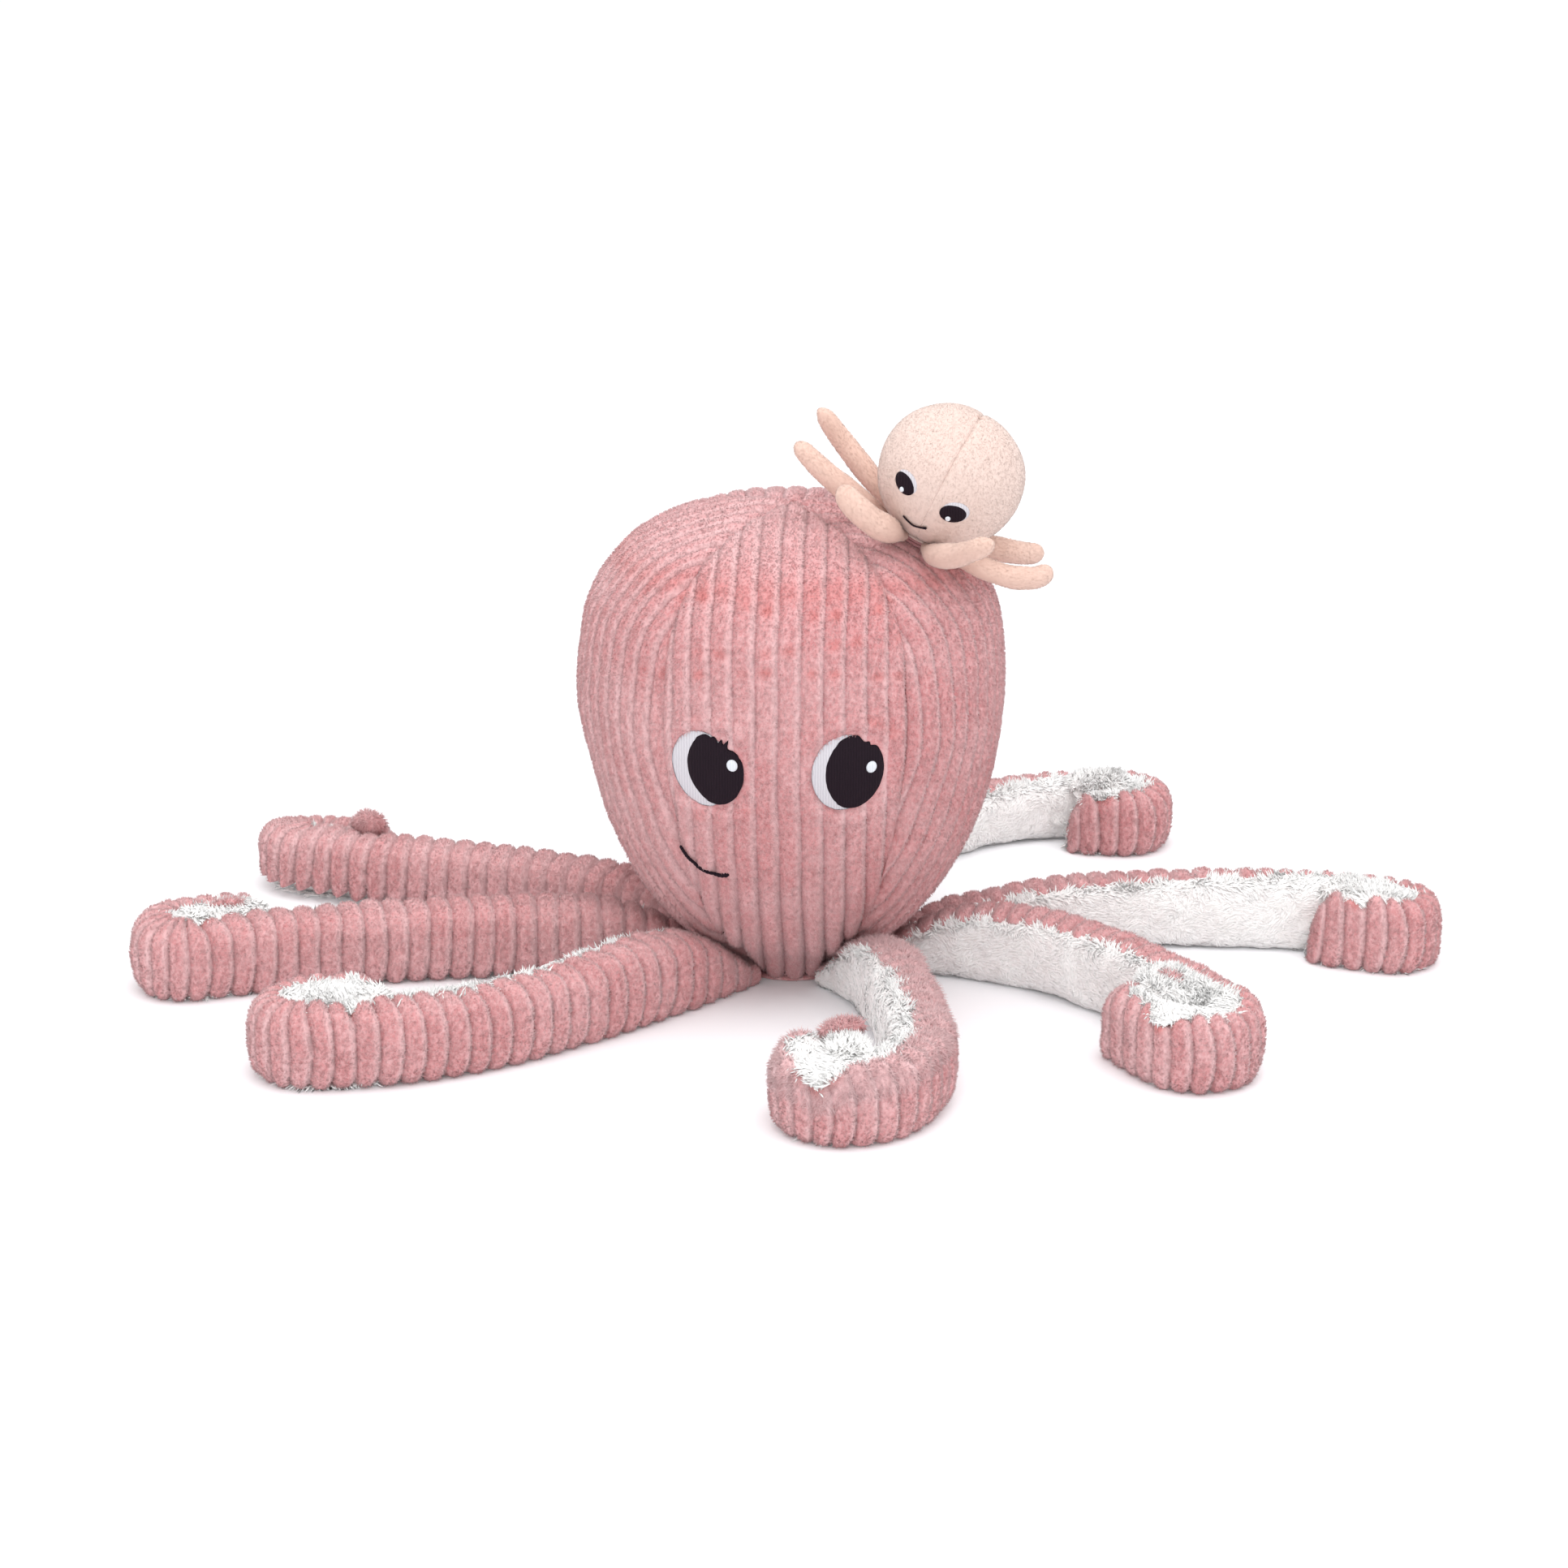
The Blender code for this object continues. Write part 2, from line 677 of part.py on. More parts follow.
def baby_arm_route(root, azimuth, length, turned, rise):
    """Tapered tube that bends towards its tip and lies close over the big head."""
    place = root
    travelled = 0.0
    route = []
    for share, girth in BABY_ARM_SHARES:
        heading = azimuth + turned * share * share
        place = place + (share * length - travelled) * heading_vector(heading)
        travelled = share * length
        radius = girth * BABY_ARM_GIRTH / 2.0
        centre = Vector((place.x, place.y, root.z + rise * share * share * length))
        centre.z += radius - BABY_ARM_SHARES[0][1] * BABY_ARM_GIRTH / 2.0
        route.append((centre, heading_vector(heading - 90.0), Vector((0.0, 0.0, 1.0)), radius))
    return route


def add_baby_arm(name, plan, dome, baby, materials):
    azimuth, length_share, turned, rise_share = plan
    root = (dome.rings[0].x + BABY_ARM_ROOT_CLEARANCE) * heading_vector(azimuth)
    root.z = dome.rings[0].y - BABY_ARM_REST
    hinge = Matrix.Translation(root + Vector((0.0, 0.0, BABY_ARM_HINGE_RISE)))
    hinge = hinge @ Matrix.Rotation(math.radians(azimuth), 4, "Z")
    joint = add_frame(f"{name}_joint", hinge, baby)
    length = length_share * BABY_ARM_LENGTH
    route = baby_arm_route(root, azimuth, length, turned, rise_share)
    shape = tube_along(route, BABY_ARM_SIDES)
    add_piece(name, shape, materials["peach_plush"], joint, hinge)


def build():
    clear_scene()
    materials = {
        "corduroy": make_material("rose_corduroy", (0.66, 0.34, 0.35), 0.9),
        "white_plush": make_material("white_plush", (0.86, 0.84, 0.82), 0.95),
        "peach_plush": make_material("peach_plush", (0.93, 0.76, 0.68), 0.9),
        "stuffing": make_material("fibre_stuffing", (0.88, 0.88, 0.86), 1.0),
        "eye_white": make_material("white_satin_stitch", (0.74, 0.69, 0.72), 0.6),
        "white_thread": make_material("white_thread", (0.90, 0.88, 0.88), 0.6),
        "black_thread": make_material("black_thread", (0.014, 0.010, 0.012), 0.7),
        "patch": make_material("hook_and_loop_tape", (0.62, 0.33, 0.34), 0.95),
    }
    seam_height = BASE_DISC_THICKNESS + SEWN_GAP
    dome = Dome(HEAD_PROFILE_SHARES, HEAD_RADIUS, HEAD_HEIGHT, seam_height)
    add_big_head(dome, materials)
    add_big_face(dome, materials)
    root_radius = dome.rings[0].x + ARM_ROOT_CLEARANCE
    for name, plan in ARMS.items():
        add_arm(name, plan, root_radius, materials)
    seat = baby_octopus_frame(dome)
    baby = add_frame("baby_joint", seat)
    disc_bottom = add_patches(seat, baby, materials)
    baby_dome = add_baby_head(disc_bottom, baby, materials)
    add_baby_face(baby_dome, baby, materials)
    for name, plan in BABY_ARMS.items():
        add_baby_arm(name, plan, baby_dome, baby, materials)


build()
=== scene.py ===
# %% [markdown]
# # A plush octopus, dressed for its portrait
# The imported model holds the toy's construction: cloth panels, stuffing, thread and hinges, all
# as plain solids. This lesson makes the cloth itself. Each soft solid is replaced by a mesh of
# the same size with the ribs, the pile, the seams and the stitches of the real thing.

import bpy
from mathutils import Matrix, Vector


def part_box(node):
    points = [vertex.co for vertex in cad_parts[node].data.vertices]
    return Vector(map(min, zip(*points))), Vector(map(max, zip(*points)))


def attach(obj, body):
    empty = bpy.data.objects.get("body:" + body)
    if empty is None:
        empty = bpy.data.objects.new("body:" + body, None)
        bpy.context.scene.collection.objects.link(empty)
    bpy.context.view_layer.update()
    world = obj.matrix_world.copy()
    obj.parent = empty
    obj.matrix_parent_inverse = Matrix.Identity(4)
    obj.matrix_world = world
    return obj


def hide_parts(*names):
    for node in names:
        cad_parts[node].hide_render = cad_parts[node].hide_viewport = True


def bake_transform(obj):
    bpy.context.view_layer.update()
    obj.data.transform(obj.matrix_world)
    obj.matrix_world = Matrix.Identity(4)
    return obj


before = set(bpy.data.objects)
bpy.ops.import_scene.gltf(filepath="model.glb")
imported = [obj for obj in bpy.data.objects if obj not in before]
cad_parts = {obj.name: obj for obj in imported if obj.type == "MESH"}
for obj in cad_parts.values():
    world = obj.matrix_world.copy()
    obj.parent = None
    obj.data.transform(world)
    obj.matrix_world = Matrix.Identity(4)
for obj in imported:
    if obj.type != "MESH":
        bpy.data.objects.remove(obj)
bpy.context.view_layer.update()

# %% Modules
import itertools
import math

import bmesh
import bpy
import numpy as np
from mathutils import Matrix, Vector

# %% [markdown]
# ## The camera
# The picture was taken from a little above the toy with a long lens. The lens and the distance
# were found by laying the toy's known sizes over the picture.

# %% Camera
CAMERA_TARGET = Vector((-0.003, -0.015, 0.0708))
CAMERA_DISTANCE = 1.150
CAMERA_ELEVATION = math.radians(18.0)
LENS_MM = 76.86
SENSOR_MM = 36.0


def add_to_scene(name, data):
    """A new object in the scene."""
    added = bpy.data.objects.new(name, data)
    bpy.context.scene.collection.objects.link(added)
    return added


def add_camera():
    back = Vector((0.0, -math.cos(CAMERA_ELEVATION), math.sin(CAMERA_ELEVATION)))
    camera = add_to_scene("camera", bpy.data.cameras.new("camera"))
    camera.data.lens = LENS_MM
    camera.data.sensor_width = SENSOR_MM
    camera.location = CAMERA_TARGET + CAMERA_DISTANCE * back
    camera.rotation_mode = "QUATERNION"
    camera.rotation_quaternion = (-back).to_track_quat("-Z", "Y")
    bpy.context.scene.camera = camera
    return camera


camera = add_camera()
print("camera at", [round(value, 3) for value in camera.location])

# %% [markdown]
# ## Sizes
# These are the sizes of the real toy in metres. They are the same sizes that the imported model
# was made from, so every mesh below lies on its own solid.

# %% Sizes of the big head
HEAD_HEIGHT = 0.1667
HEAD_RADIUS = 0.0730
HEAD_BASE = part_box("head_front_panel")[0].z
HEAD_PROFILE_SHARES = (
    (0.0, 0.28),
    (0.05, 0.38),
    (0.12, 0.585),
    (0.22, 0.75),
    (0.34, 0.875),
    (0.46, 0.95),
    (0.58, 1.0),
    (0.70, 0.988),
    (0.80, 0.94),
    (0.88, 0.815),
    (0.92, 0.716),
    (0.956, 0.551),
    (0.98, 0.34),
    (1.0, 0.03),
)
HEAD_PANELS = {
    "head_front_panel": (233.5, 301.5),
    "head_right_panel": (301.5, 398.5),
    "head_back_panel": (38.5, 136.0),
    "head_left_panel": (136.0, 233.5),
}
CLOTH_THICKNESS = 0.0018

# %% Sizes of the arms
ARM_RUN = 0.178
ARM_WIDTH = 0.0214
ARM_HEIGHT = 0.0270
ARM_TAPER = 0.066
ARM_TAPER_SHARES = (
    (0.0, 0.46, 0.18),
    (0.12, 0.62, 0.37),
    (0.28, 0.78, 0.60),
    (0.48, 0.92, 0.84),
    (0.72, 0.98, 0.97),
    (1.0, 1.0, 1.0),
)
FOLD_RADIUS = 0.0117
RETURN_LENGTH = 0.030
ROOT_RADIUS = HEAD_PROFILE_SHARES[0][1] * HEAD_RADIUS + 0.0036
ROOT_HEIGHT = 0.0036
FLOOR_CUT = 0.0005
SECTION_SQUARENESS = 0.62
SEAM_TOP = 95.0
SEAM_BOTTOM = -86.0
# Root azimuth, share of the run, share of the return, and headings away from the root azimuth
# at equal steps along the run, in degrees
ARMS = {
    "front_arm": (298.0, 0.84, 0.60, (14.0, 1.0, -18.0, -20.0, -25.0, -54.0, -109.0)),
    "front_right_arm": (350.0, 0.88, 1.0, (8.0, -10.0, -32.0, -48.0, -52.0)),
    "mid_right_arm": (28.0, 1.10, 1.0, (-12.0, -24.0, -29.0, -32.0, -54.0)),
    "back_right_arm": (72.0, 1.04, 0.84, (0.0, -6.0, -20.0, -48.0, -84.0)),
    "back_arm": (112.0, 1.0, 1.0, (0.0, -6.0, -14.0, -26.0, -40.0)),
    "back_left_arm": (152.0, 0.98, 1.0, (-10.0, 0.0, 12.0, 18.0, 4.0)),
    "mid_left_arm": (191.0, 1.04, 1.0, (-10.0, -8.0, -4.0, 0.0, 12.0)),
    "front_left_arm": (233.0, 0.96, 1.0, (-10.0, -10.0, -14.0, -28.0, -52.0)),
}
# How far the seams lean towards the plush side, in degrees: at the root, at a third and two
# thirds of the run, before the fold, in the fold and at the folded end
TOP_SEAM_LEANS = {
    "front_arm": (50.0, 16.0, 0.0, -6.0, -30.0, -20.0),
    "front_right_arm": (48.0, 34.0, 22.0, 2.0, -22.0, -24.0),
    "mid_right_arm": (40.0, 22.0, 4.0, -16.0, -8.0, -8.0),
    "back_right_arm": (50.0, 32.0, 12.0, -14.0, -6.0, -8.0),
    "back_arm": (50.0, 40.0, 30.0, 4.0, -16.0, -20.0),
    "back_left_arm": (70.0, 66.0, 62.0, 56.0, 40.0, 20.0),
    "mid_left_arm": (68.0, 62.0, 54.0, 30.0, 10.0, -10.0),
    "front_left_arm": (68.0, 18.0, 2.0, 6.0, -6.0, -22.0),
}
# Where the ribs fade towards the top seam, as a share of the way round
RIB_FADES = {"front_arm": 0.62}
LOWER_SEAM_LEANS = {"back_left_arm": (0.0, 0.0, 8.0, 52.0, 66.0, 62.0)}
# Where the filling has settled, as shares: the height at these places along the run, and then
# the height, the width and the radius of the fold
SETTLED_AT = (0.0, 0.12, 0.24, 0.42, 0.65, 1.0)
EVEN = (1.0, 1.0, 1.0, 1.0, 1.0, 1.0)
SETTLED = {
    "front_arm": ((1.2, 1.28, 1.12, 1.0, 1.0, 1.0), 1.0, 1.0, 0.93),
    "front_right_arm": (EVEN, 1.0, 1.0, 0.92),
    "back_left_arm": ((1.0, 0.88, 0.82, 0.83, 0.88, 0.96), 0.76, 1.0, 0.94),
    "mid_left_arm": ((1.0, 1.0, 1.0, 0.97, 0.96, 0.98), 1.0, 0.86, 0.76),
    "front_left_arm": ((1.1, 1.22, 1.12, 1.03, 1.0, 1.0), 1.0, 0.96, 0.87),
    "mid_right_arm": ((0.7, 0.58, 0.68, 0.87, 0.97, 0.98), 1.0, 0.72, 0.64),
    "back_right_arm": ((1.0, 0.9, 0.80, 0.77, 0.84, 0.92), 0.92, 0.80, 0.88),
}
# Where one stitch pulls the top seam down: how far past the run, and by how many degrees
NOTCHES = {
    "front_arm": (0.0058, 50.0),
    "front_right_arm": (0.0304, 36.0),
    "mid_right_arm": (0.0330, 26.0),
    "back_right_arm": (0.0370, 20.0),
    "back_arm": (0.0330, 30.0),
    "mid_left_arm": (-0.0040, 12.0),
    "front_left_arm": (-0.0130, 12.0),
}


# %% [markdown]
# ## Tools for cloth
# Three small tools make almost everything: a smooth noise that gives the lumps of stuffing, a
# spline that rounds off a list of chosen points, and a builder that turns arrays of points into
# a mesh. Cloth is built as a closed skin: a fine outer sheet with all the detail, a coarse
# inner sheet, and a rim between them. Lumps of several sizes are written as layers: how deep
# they are, how wide, and the seed of each.

# %% Noise and splines
TABLE_SIZE = 4096
HASH_PRIMES = (73856093, 19349663, 83492791)
SPLINE_STEPS = 24


def lumps(points, size, seed):
    """Smooth noise between -1 and 1, with lumps about this size in metres."""
    table = np.random.default_rng(seed).uniform(-1.0, 1.0, TABLE_SIZE)
    cell = np.floor(points / size).astype(np.int64)
    part = points / size - cell
    part = part * part * (3.0 - 2.0 * part)
    total = np.zeros(points.shape[:-1])
    for corner in itertools.product((0, 1), repeat=3):
        where = cell + np.array(corner)
        first, second, third = (where[..., axis] * HASH_PRIMES[axis] for axis in range(3))
        weight = np.prod(np.where(np.array(corner) == 1, part, 1.0 - part), axis=-1)
        total += weight * table[(first ^ second ^ third) & (TABLE_SIZE - 1)]
    return total


def layered(points, layers, seed=0):
    """The sum of layers of lumps: how deep, how wide, and the seed of each."""
    return sum(depth * lumps(points, size, seed + step) for depth, size, step in layers)


def travelled(points):
    """How far along its line each point lies."""
    return np.concatenate([[0.0], np.cumsum(np.linalg.norm(np.diff(points, axis=0), axis=1))])


def read_line(points, by, wanted):
    """Points of a line at wanted values of a measure that grows along it."""
    return np.stack([np.interp(wanted, by, column) for column in points.T], axis=1)


def smooth_line(points, count):
    """Count points, evenly spaced, on a smooth curve through the given ones."""
    points = np.asarray(points, float)
    ends = np.vstack([2.0 * points[0] - points[1], points, 2.0 * points[-1] - points[-2]])
    steps = np.linspace(0.0, 1.0, SPLINE_STEPS, endpoint=False)[:, None]
    curve = []
    for a, b, c, d in zip(ends, ends[1:], ends[2:], ends[3:]):
        bend = 2.0 * a - 5.0 * b + 4.0 * c - d
        twist = 3.0 * b - a - 3.0 * c + d
        curve.append(0.5 * (2.0 * b + (c - a) * steps + bend * steps**2 + twist * steps**3))
    curve = np.vstack([*curve, points[-1:]])
    lengths = travelled(curve)
    return read_line(curve, lengths, np.linspace(0.0, lengths[-1], count))


def rise(value, low, high):
    """0 below low, 1 above high, and smooth between."""
    share = np.clip((value - low) / (high - low), 0.0, 1.0)
    return share * share * (3.0 - 2.0 * share)


def bell(value, width):
    """1 at zero, and smoothly down to nothing on both sides."""
    return np.exp(-((value / width) ** 2))


def signed_power(value, power):
    return np.sign(value) * np.abs(value) ** power


def unit(vectors):
    return vectors / np.maximum(np.linalg.norm(vectors, axis=-1, keepdims=True), 1e-12)


def round_rings(across, upward, sides):
    """Points of unit circles, each spanned by its own two directions."""
    return np.cos(sides)[None, :, None] * across[:, None] + np.sin(sides)[None, :, None] * upward[:, None]


def headings(degrees):
    """Level unit vectors at these azimuths."""
    turn = np.radians(degrees)
    return np.stack([np.cos(turn), np.sin(turn), np.zeros_like(turn)], axis=-1)


# %% Mesh builder
LOCK_ROUNDNESS = 0.9
FLOOR_GAP = 0.0002


def part_of(points, faces, cloth=None, nap=None):
    """A part of a piece. Cloth holds values for the material, nap the way that the pile faces."""
    blank = np.zeros((len(points), 3))
    return points, faces, blank if cloth is None else cloth, blank if nap is None else nap


def new_piece(name, parts, material, matrix=None):
    """One mesh object from parts, placed by a matrix."""
    offset = 0
    by_size = {}
    for some_points, some_faces, _, _ in parts:
        for group in some_faces:
            by_size.setdefault(group.shape[1], []).append(group + offset)
        offset += len(some_points)
    points, cloth, nap = (np.vstack([part[index] for part in parts]) for index in (0, 2, 3))
    if matrix is not None:
        grid = np.array(matrix)
        points = points @ grid[:3, :3].T + grid[:3, 3]
        nap = nap @ grid[:3, :3].T
    points[:, 2] = np.maximum(points[:, 2], FLOOR_GAP)
    groups = [np.vstack(group) for group in by_size.values()]
    sizes = np.concatenate([np.full(len(group), group.shape[1]) for group in groups])
    corners = np.concatenate([group.ravel() for group in groups])
    starts = np.concatenate([[0], np.cumsum(sizes)[:-1]])
    mesh = bpy.data.meshes.new(name)
    mesh.vertices.add(len(points))
    mesh.vertices.foreach_set("co", points.astype(np.float32).ravel())
    mesh.loops.add(len(corners))
    mesh.loops.foreach_set("vertex_index", corners.astype(np.int32))
    mesh.polygons.add(len(sizes))
    mesh.polygons.foreach_set("loop_start", starts.astype(np.int32))
    mesh.update(calc_edges=True)
    record = mesh.attributes.new("cloth", "FLOAT_VECTOR", "POINT")
    record.data.foreach_set("vector", cloth.astype(np.float32).ravel())
    work = bmesh.new()
    work.from_mesh(mesh)
    bmesh.ops.recalc_face_normals(work, faces=work.faces)
    work.to_mesh(mesh)
    work.free()
    mesh.shade_smooth()
    if np.any(nap):
        own = np.empty(3 * len(points), np.float32)
        mesh.vertex_normals.foreach_get("vector", own)
        mesh.normals_split_custom_set_from_vertices(unit(LOCK_ROUNDNESS * own.reshape(-1, 3) + nap))
    mesh.materials.append(material)
    return add_to_scene(name, mesh)


SHELL_STEP = 4


def fit_count(length, spacing):
    """A number of points at about this spacing that the coarse inner sheet divides evenly."""
    return int(math.ceil(length / spacing / SHELL_STEP)) * SHELL_STEP + 1


def four_sided(*corners):
    """Faces from four grids of point numbers, one for each corner."""
    return np.stack([corner.ravel() for corner in corners], axis=1)


def closed_sheet(outer, inner):
    """Points and faces of a skin: a fine outer grid, a coarse inner grid and a rim."""
    fine = np.arange(outer[..., 0].size).reshape(outer.shape[:2])
    coarse = fine.size + np.arange(inner[..., 0].size).reshape(inner.shape[:2])
    rims = []
    borders = (
        (fine[0], coarse[0]),
        (fine[:, -1], coarse[:, -1]),
        (fine[-1, ::-1], coarse[-1, ::-1]),
        (fine[::-1, 0], coarse[::-1, 0]),
    )
    for edge, under in borders:
        for index in range(len(under) - 1):
            along = edge[index * SHELL_STEP : (index + 1) * SHELL_STEP + 1]
            rims.append([*along, under[index + 1], under[index]])
    upper, lower = (
        four_sided(grid[:-1, :-1], grid[:-1, 1:], grid[1:, 1:], grid[1:, :-1]) for grid in (fine, coarse)
    )
    points = np.vstack([outer.reshape(-1, 3), inner.reshape(-1, 3)])
    return points, [upper, lower[:, ::-1], np.array(rims)]


def closed_tube(rings):
    """Points and faces of a closed tube through rings of equal count."""
    grid = np.arange(rings[..., 0].size).reshape(rings.shape[:2])
    after = np.roll(grid, -1, axis=1)
    faces = [four_sided(grid[:-1], after[:-1], after[1:], grid[1:]), grid[:1, ::-1], grid[-1:]]
    return rings.reshape(-1, 3), faces


def tube_piece(name, rings, material, matrix=None):
    return new_piece(name, [part_of(*closed_tube(rings))], material, matrix)


# %% [markdown]
# ## Pile
# Plush is thousands of fibres that stand in small tufts. A tuft is a closed three-sided lock
# that starts under the cloth and ends in a point. Long locks have a bend, short ones are
# straight. They belong to the same mesh as the cloth under them, so the pile is real shape
# that shows on the outline too.

# %% Locks of pile
LOCK_SIDES = (0.0, 120.0, 240.0)
# How deep a lock is rooted, where its tip is, and how far the tip curls, as shares of its length
LOCK_ROOT = 0.3
LOCK_TIP = 0.85
LOCK_CURL = 0.6
# The same for the bend of a long lock, and its girth there and at the root as shares of the width
BEND_AT = 0.5
BEND_CURL = 0.18
BEND_GIRTH = 0.36
ROOT_GIRTH = 0.5


def pile_locks(roots, normal, direction, curl, length, width, random, bent):
    """Closed locks with their share from root to tip, which shade like the cloth under them."""
    count = len(roots)
    length = np.broadcast_to(length, count)[:, None, None]
    side = unit(np.cross(direction, random.normal(size=(count, 3))))
    other = np.cross(direction, side)
    turn = np.radians(LOCK_SIDES)
    ring = round_rings(side, other, turn)
    centre = roots[:, None]
    ahead = direction[:, None]
    curl = curl[:, None]
    levels = [(centre - LOCK_ROOT * length * ahead + ROOT_GIRTH * width * ring, 0.0)]
    if bent:
        middle = centre + length * (BEND_AT * ahead + BEND_CURL * curl)
        levels.append((middle + BEND_GIRTH * width * ring, BEND_AT))
    levels.append((centre + length * (LOCK_TIP * ahead + LOCK_CURL * curl), 1.0))
    points = np.concatenate([level for level, _ in levels], axis=1)
    share = np.concatenate([np.full(level.shape[1], value) for level, value in levels])
    first = points.shape[1] * np.arange(count)[:, None, None]
    sides = [(0, 1), (1, 2), (2, 0)]
    top = 3 if bent else 0
    triangles = np.array([(0, 2, 1), *[(top + a, top + b, top + 3) for a, b in sides]])
    faces = [(first + triangles[None]).reshape(-1, 3)]
    if bent:
        quads = np.array([(a, b, b + 3, a + 3) for a, b in sides])
        faces.append((first + quads[None]).reshape(-1, 4))
    nap = np.repeat(normal, points.shape[1], axis=0)
    cloth = np.zeros_like(nap)
    cloth[:, 2] = (share[None, :] * random.uniform(0.35, 1.25, (count, 1))).ravel()
    return part_of(points.reshape(-1, 3), faces, cloth, nap)


# %% [markdown]
# ## Materials
# Every cloth here is pile, so one group of nodes makes the grain of pile and another the
# patches where a hand has brushed it the other way. The corduroy adds its ribs: along each
# groove runs a pale edge, where the pile is thin and a highlight is painted in, and a dark line
# of painted shade, where the light does not reach. The meshes carry an attribute named cloth:
# its X counts the ribs, its Y marks dimples, painted shade in folds and creases, and the warmer
# peach of the baby's arms, and its Z runs from the root to the tip of a lock.

# %% Node helpers


def put(tree, kind, settings=(), links=()):
    """A new node with its settings, and its inputs set to values or linked to sockets."""
    node = tree.nodes.new(kind)
    for label, value in dict(settings).items():
        setattr(node, label, value)
    for label, value in dict(links).items():
        if isinstance(value, bpy.types.NodeSocket):
            tree.links.new(value, node.inputs[label])
        else:
            node.inputs[label].default_value = value
    return node


def sums(tree, operation, *values):
    settings = {"operation": operation}
    return put(tree, "ShaderNodeMath", settings, dict(enumerate(values))).outputs[0]


def blend_colours(tree, share, first, second):
    return put(tree, "ShaderNodeMix", {"data_type": "RGBA"}, {0: share, 6: first, 7: second}).outputs[2]


def spread(tree, value, low, high):
    """The value's range from low to high, drawn out to 0 and 1."""
    settings = {"interpolation_type": "SMOOTHSTEP"}
    return put(tree, "ShaderNodeMapRange", settings, {0: value, 1: low, 2: high}).outputs[0]


def around_half(tree, value, contrast):
    """The value with its distance from a half scaled."""
    return sums(tree, "MULTIPLY_ADD", sums(tree, "SUBTRACT", value, 0.5), contrast, 0.5)


def noise(tree, scale, **links):
    """Noise over the piece's own coordinates."""
    links["Vector"] = put(tree, "ShaderNodeTexCoord").outputs["Object"]
    return put(tree, "ShaderNodeTexNoise", {}, {"Scale": scale, **links}).outputs["Fac"]


def new_group(name, inputs, outputs):
    """A group of nodes with numbers as inputs and outputs, and its inputs' sockets."""
    group = bpy.data.node_groups.new(name, "ShaderNodeTree")
    for label, value in inputs.items():
        socket = group.interface.new_socket(name=label, in_out="INPUT", socket_type="NodeSocketFloat")
        socket.default_value = value
    for label in outputs:
        group.interface.new_socket(name=label, in_out="OUTPUT", socket_type="NodeSocketFloat")
    return group, group.nodes.new("NodeGroupInput").outputs


def use_group(tree, group, values):
    """The outputs of a group with these inputs."""
    links = dict(enumerate(values))
    return put(tree, "ShaderNodeGroup", {"node_tree": group}, links).outputs


# %% Groups: the grain of pile, and patches brushed the other way


def make_pile_grain():
    inputs = {"Tufts per metre": 900.0, "Depth": 0.5}
    group, given = new_group("pile_grain", inputs, ("Shade", "Height"))
    scale = given["Tufts per metre"]
    coarse = noise(group, scale, Detail=3.0, Roughness=0.65)
    broad = noise(group, sums(group, "MULTIPLY", scale, 0.38), Detail=2.0)
    both = sums(group, "MULTIPLY_ADD", coarse, 0.6, sums(group, "MULTIPLY", broad, 0.4))
    height = spread(group, both, 0.34, 0.66)
    shade = around_half(group, height, given["Depth"])
    put(group, "NodeGroupOutput", {}, {"Shade": shade, "Height": height})
    return group


def make_brushed_patches():
    inputs = {"Patches per metre": 60.0, "Contrast": 0.5}
    group, given = new_group("brushed_patches", inputs, ("Mask",))
    broad = noise(group, given["Patches per metre"], Detail=4.0, Distortion=0.6)
    mask = around_half(group, spread(group, broad, 0.36, 0.64), given["Contrast"])
    put(group, "NodeGroupOutput", {}, {"Mask": mask})
    return group


PILE_GRAIN = make_pile_grain()
BRUSHED_PATCHES = make_brushed_patches()

# %% Groups: the lines along a rib, and satin stitches


def make_rib_lines():
    group, given = new_group("rib_lines", {"Ribs": 0.5}, ("Edge highlight", "Groove shade"))
    waver = sums(group, "SUBTRACT", noise(group, 300.0), 0.5)
    shifted = sums(group, "MULTIPLY_ADD", waver, 0.10, given["Ribs"])
    # 0 in the groove and 0.5 on the back of the rib. The pile lies thin along one edge only, with a
    # painted highlight there, and the groove gets a line of painted shade
    near = sums(group, "PINGPONG", shifted, 0.5)
    edge = spread(group, sums(group, "FRACT", shifted), 0.58, 0.90)
    groove = sums(group, "SUBTRACT", 1.0, spread(group, near, 0.012, 0.060))
    put(group, "NodeGroupOutput", {}, {"Edge highlight": edge, "Groove shade": groove})
    return group


def make_satin_stitch():
    group, given = new_group("satin_stitch", {"Threads per metre": 2200.0}, ("Stitches",))
    links = {
        "Vector": put(group, "ShaderNodeTexCoord").outputs["Object"],
        "Scale": sums(group, "MULTIPLY", given["Threads per metre"], 0.16),
        "Distortion": 1.6,
        "Detail": 2.0,
        "Detail Scale": 1.5,
    }
    settings = {"wave_type": "BANDS", "bands_direction": "X"}
    wave = put(group, "ShaderNodeTexWave", settings, links).outputs["Fac"]
    grain = sums(group, "MULTIPLY", noise(group, 2600.0), 0.4)
    stitches = sums(group, "MULTIPLY_ADD", wave, 0.6, grain)
    put(group, "NodeGroupOutput", {}, {"Stitches": stitches})
    return group


RIB_LINES = make_rib_lines()
SATIN_STITCH = make_satin_stitch()
print("groups of nodes", len(bpy.data.node_groups))

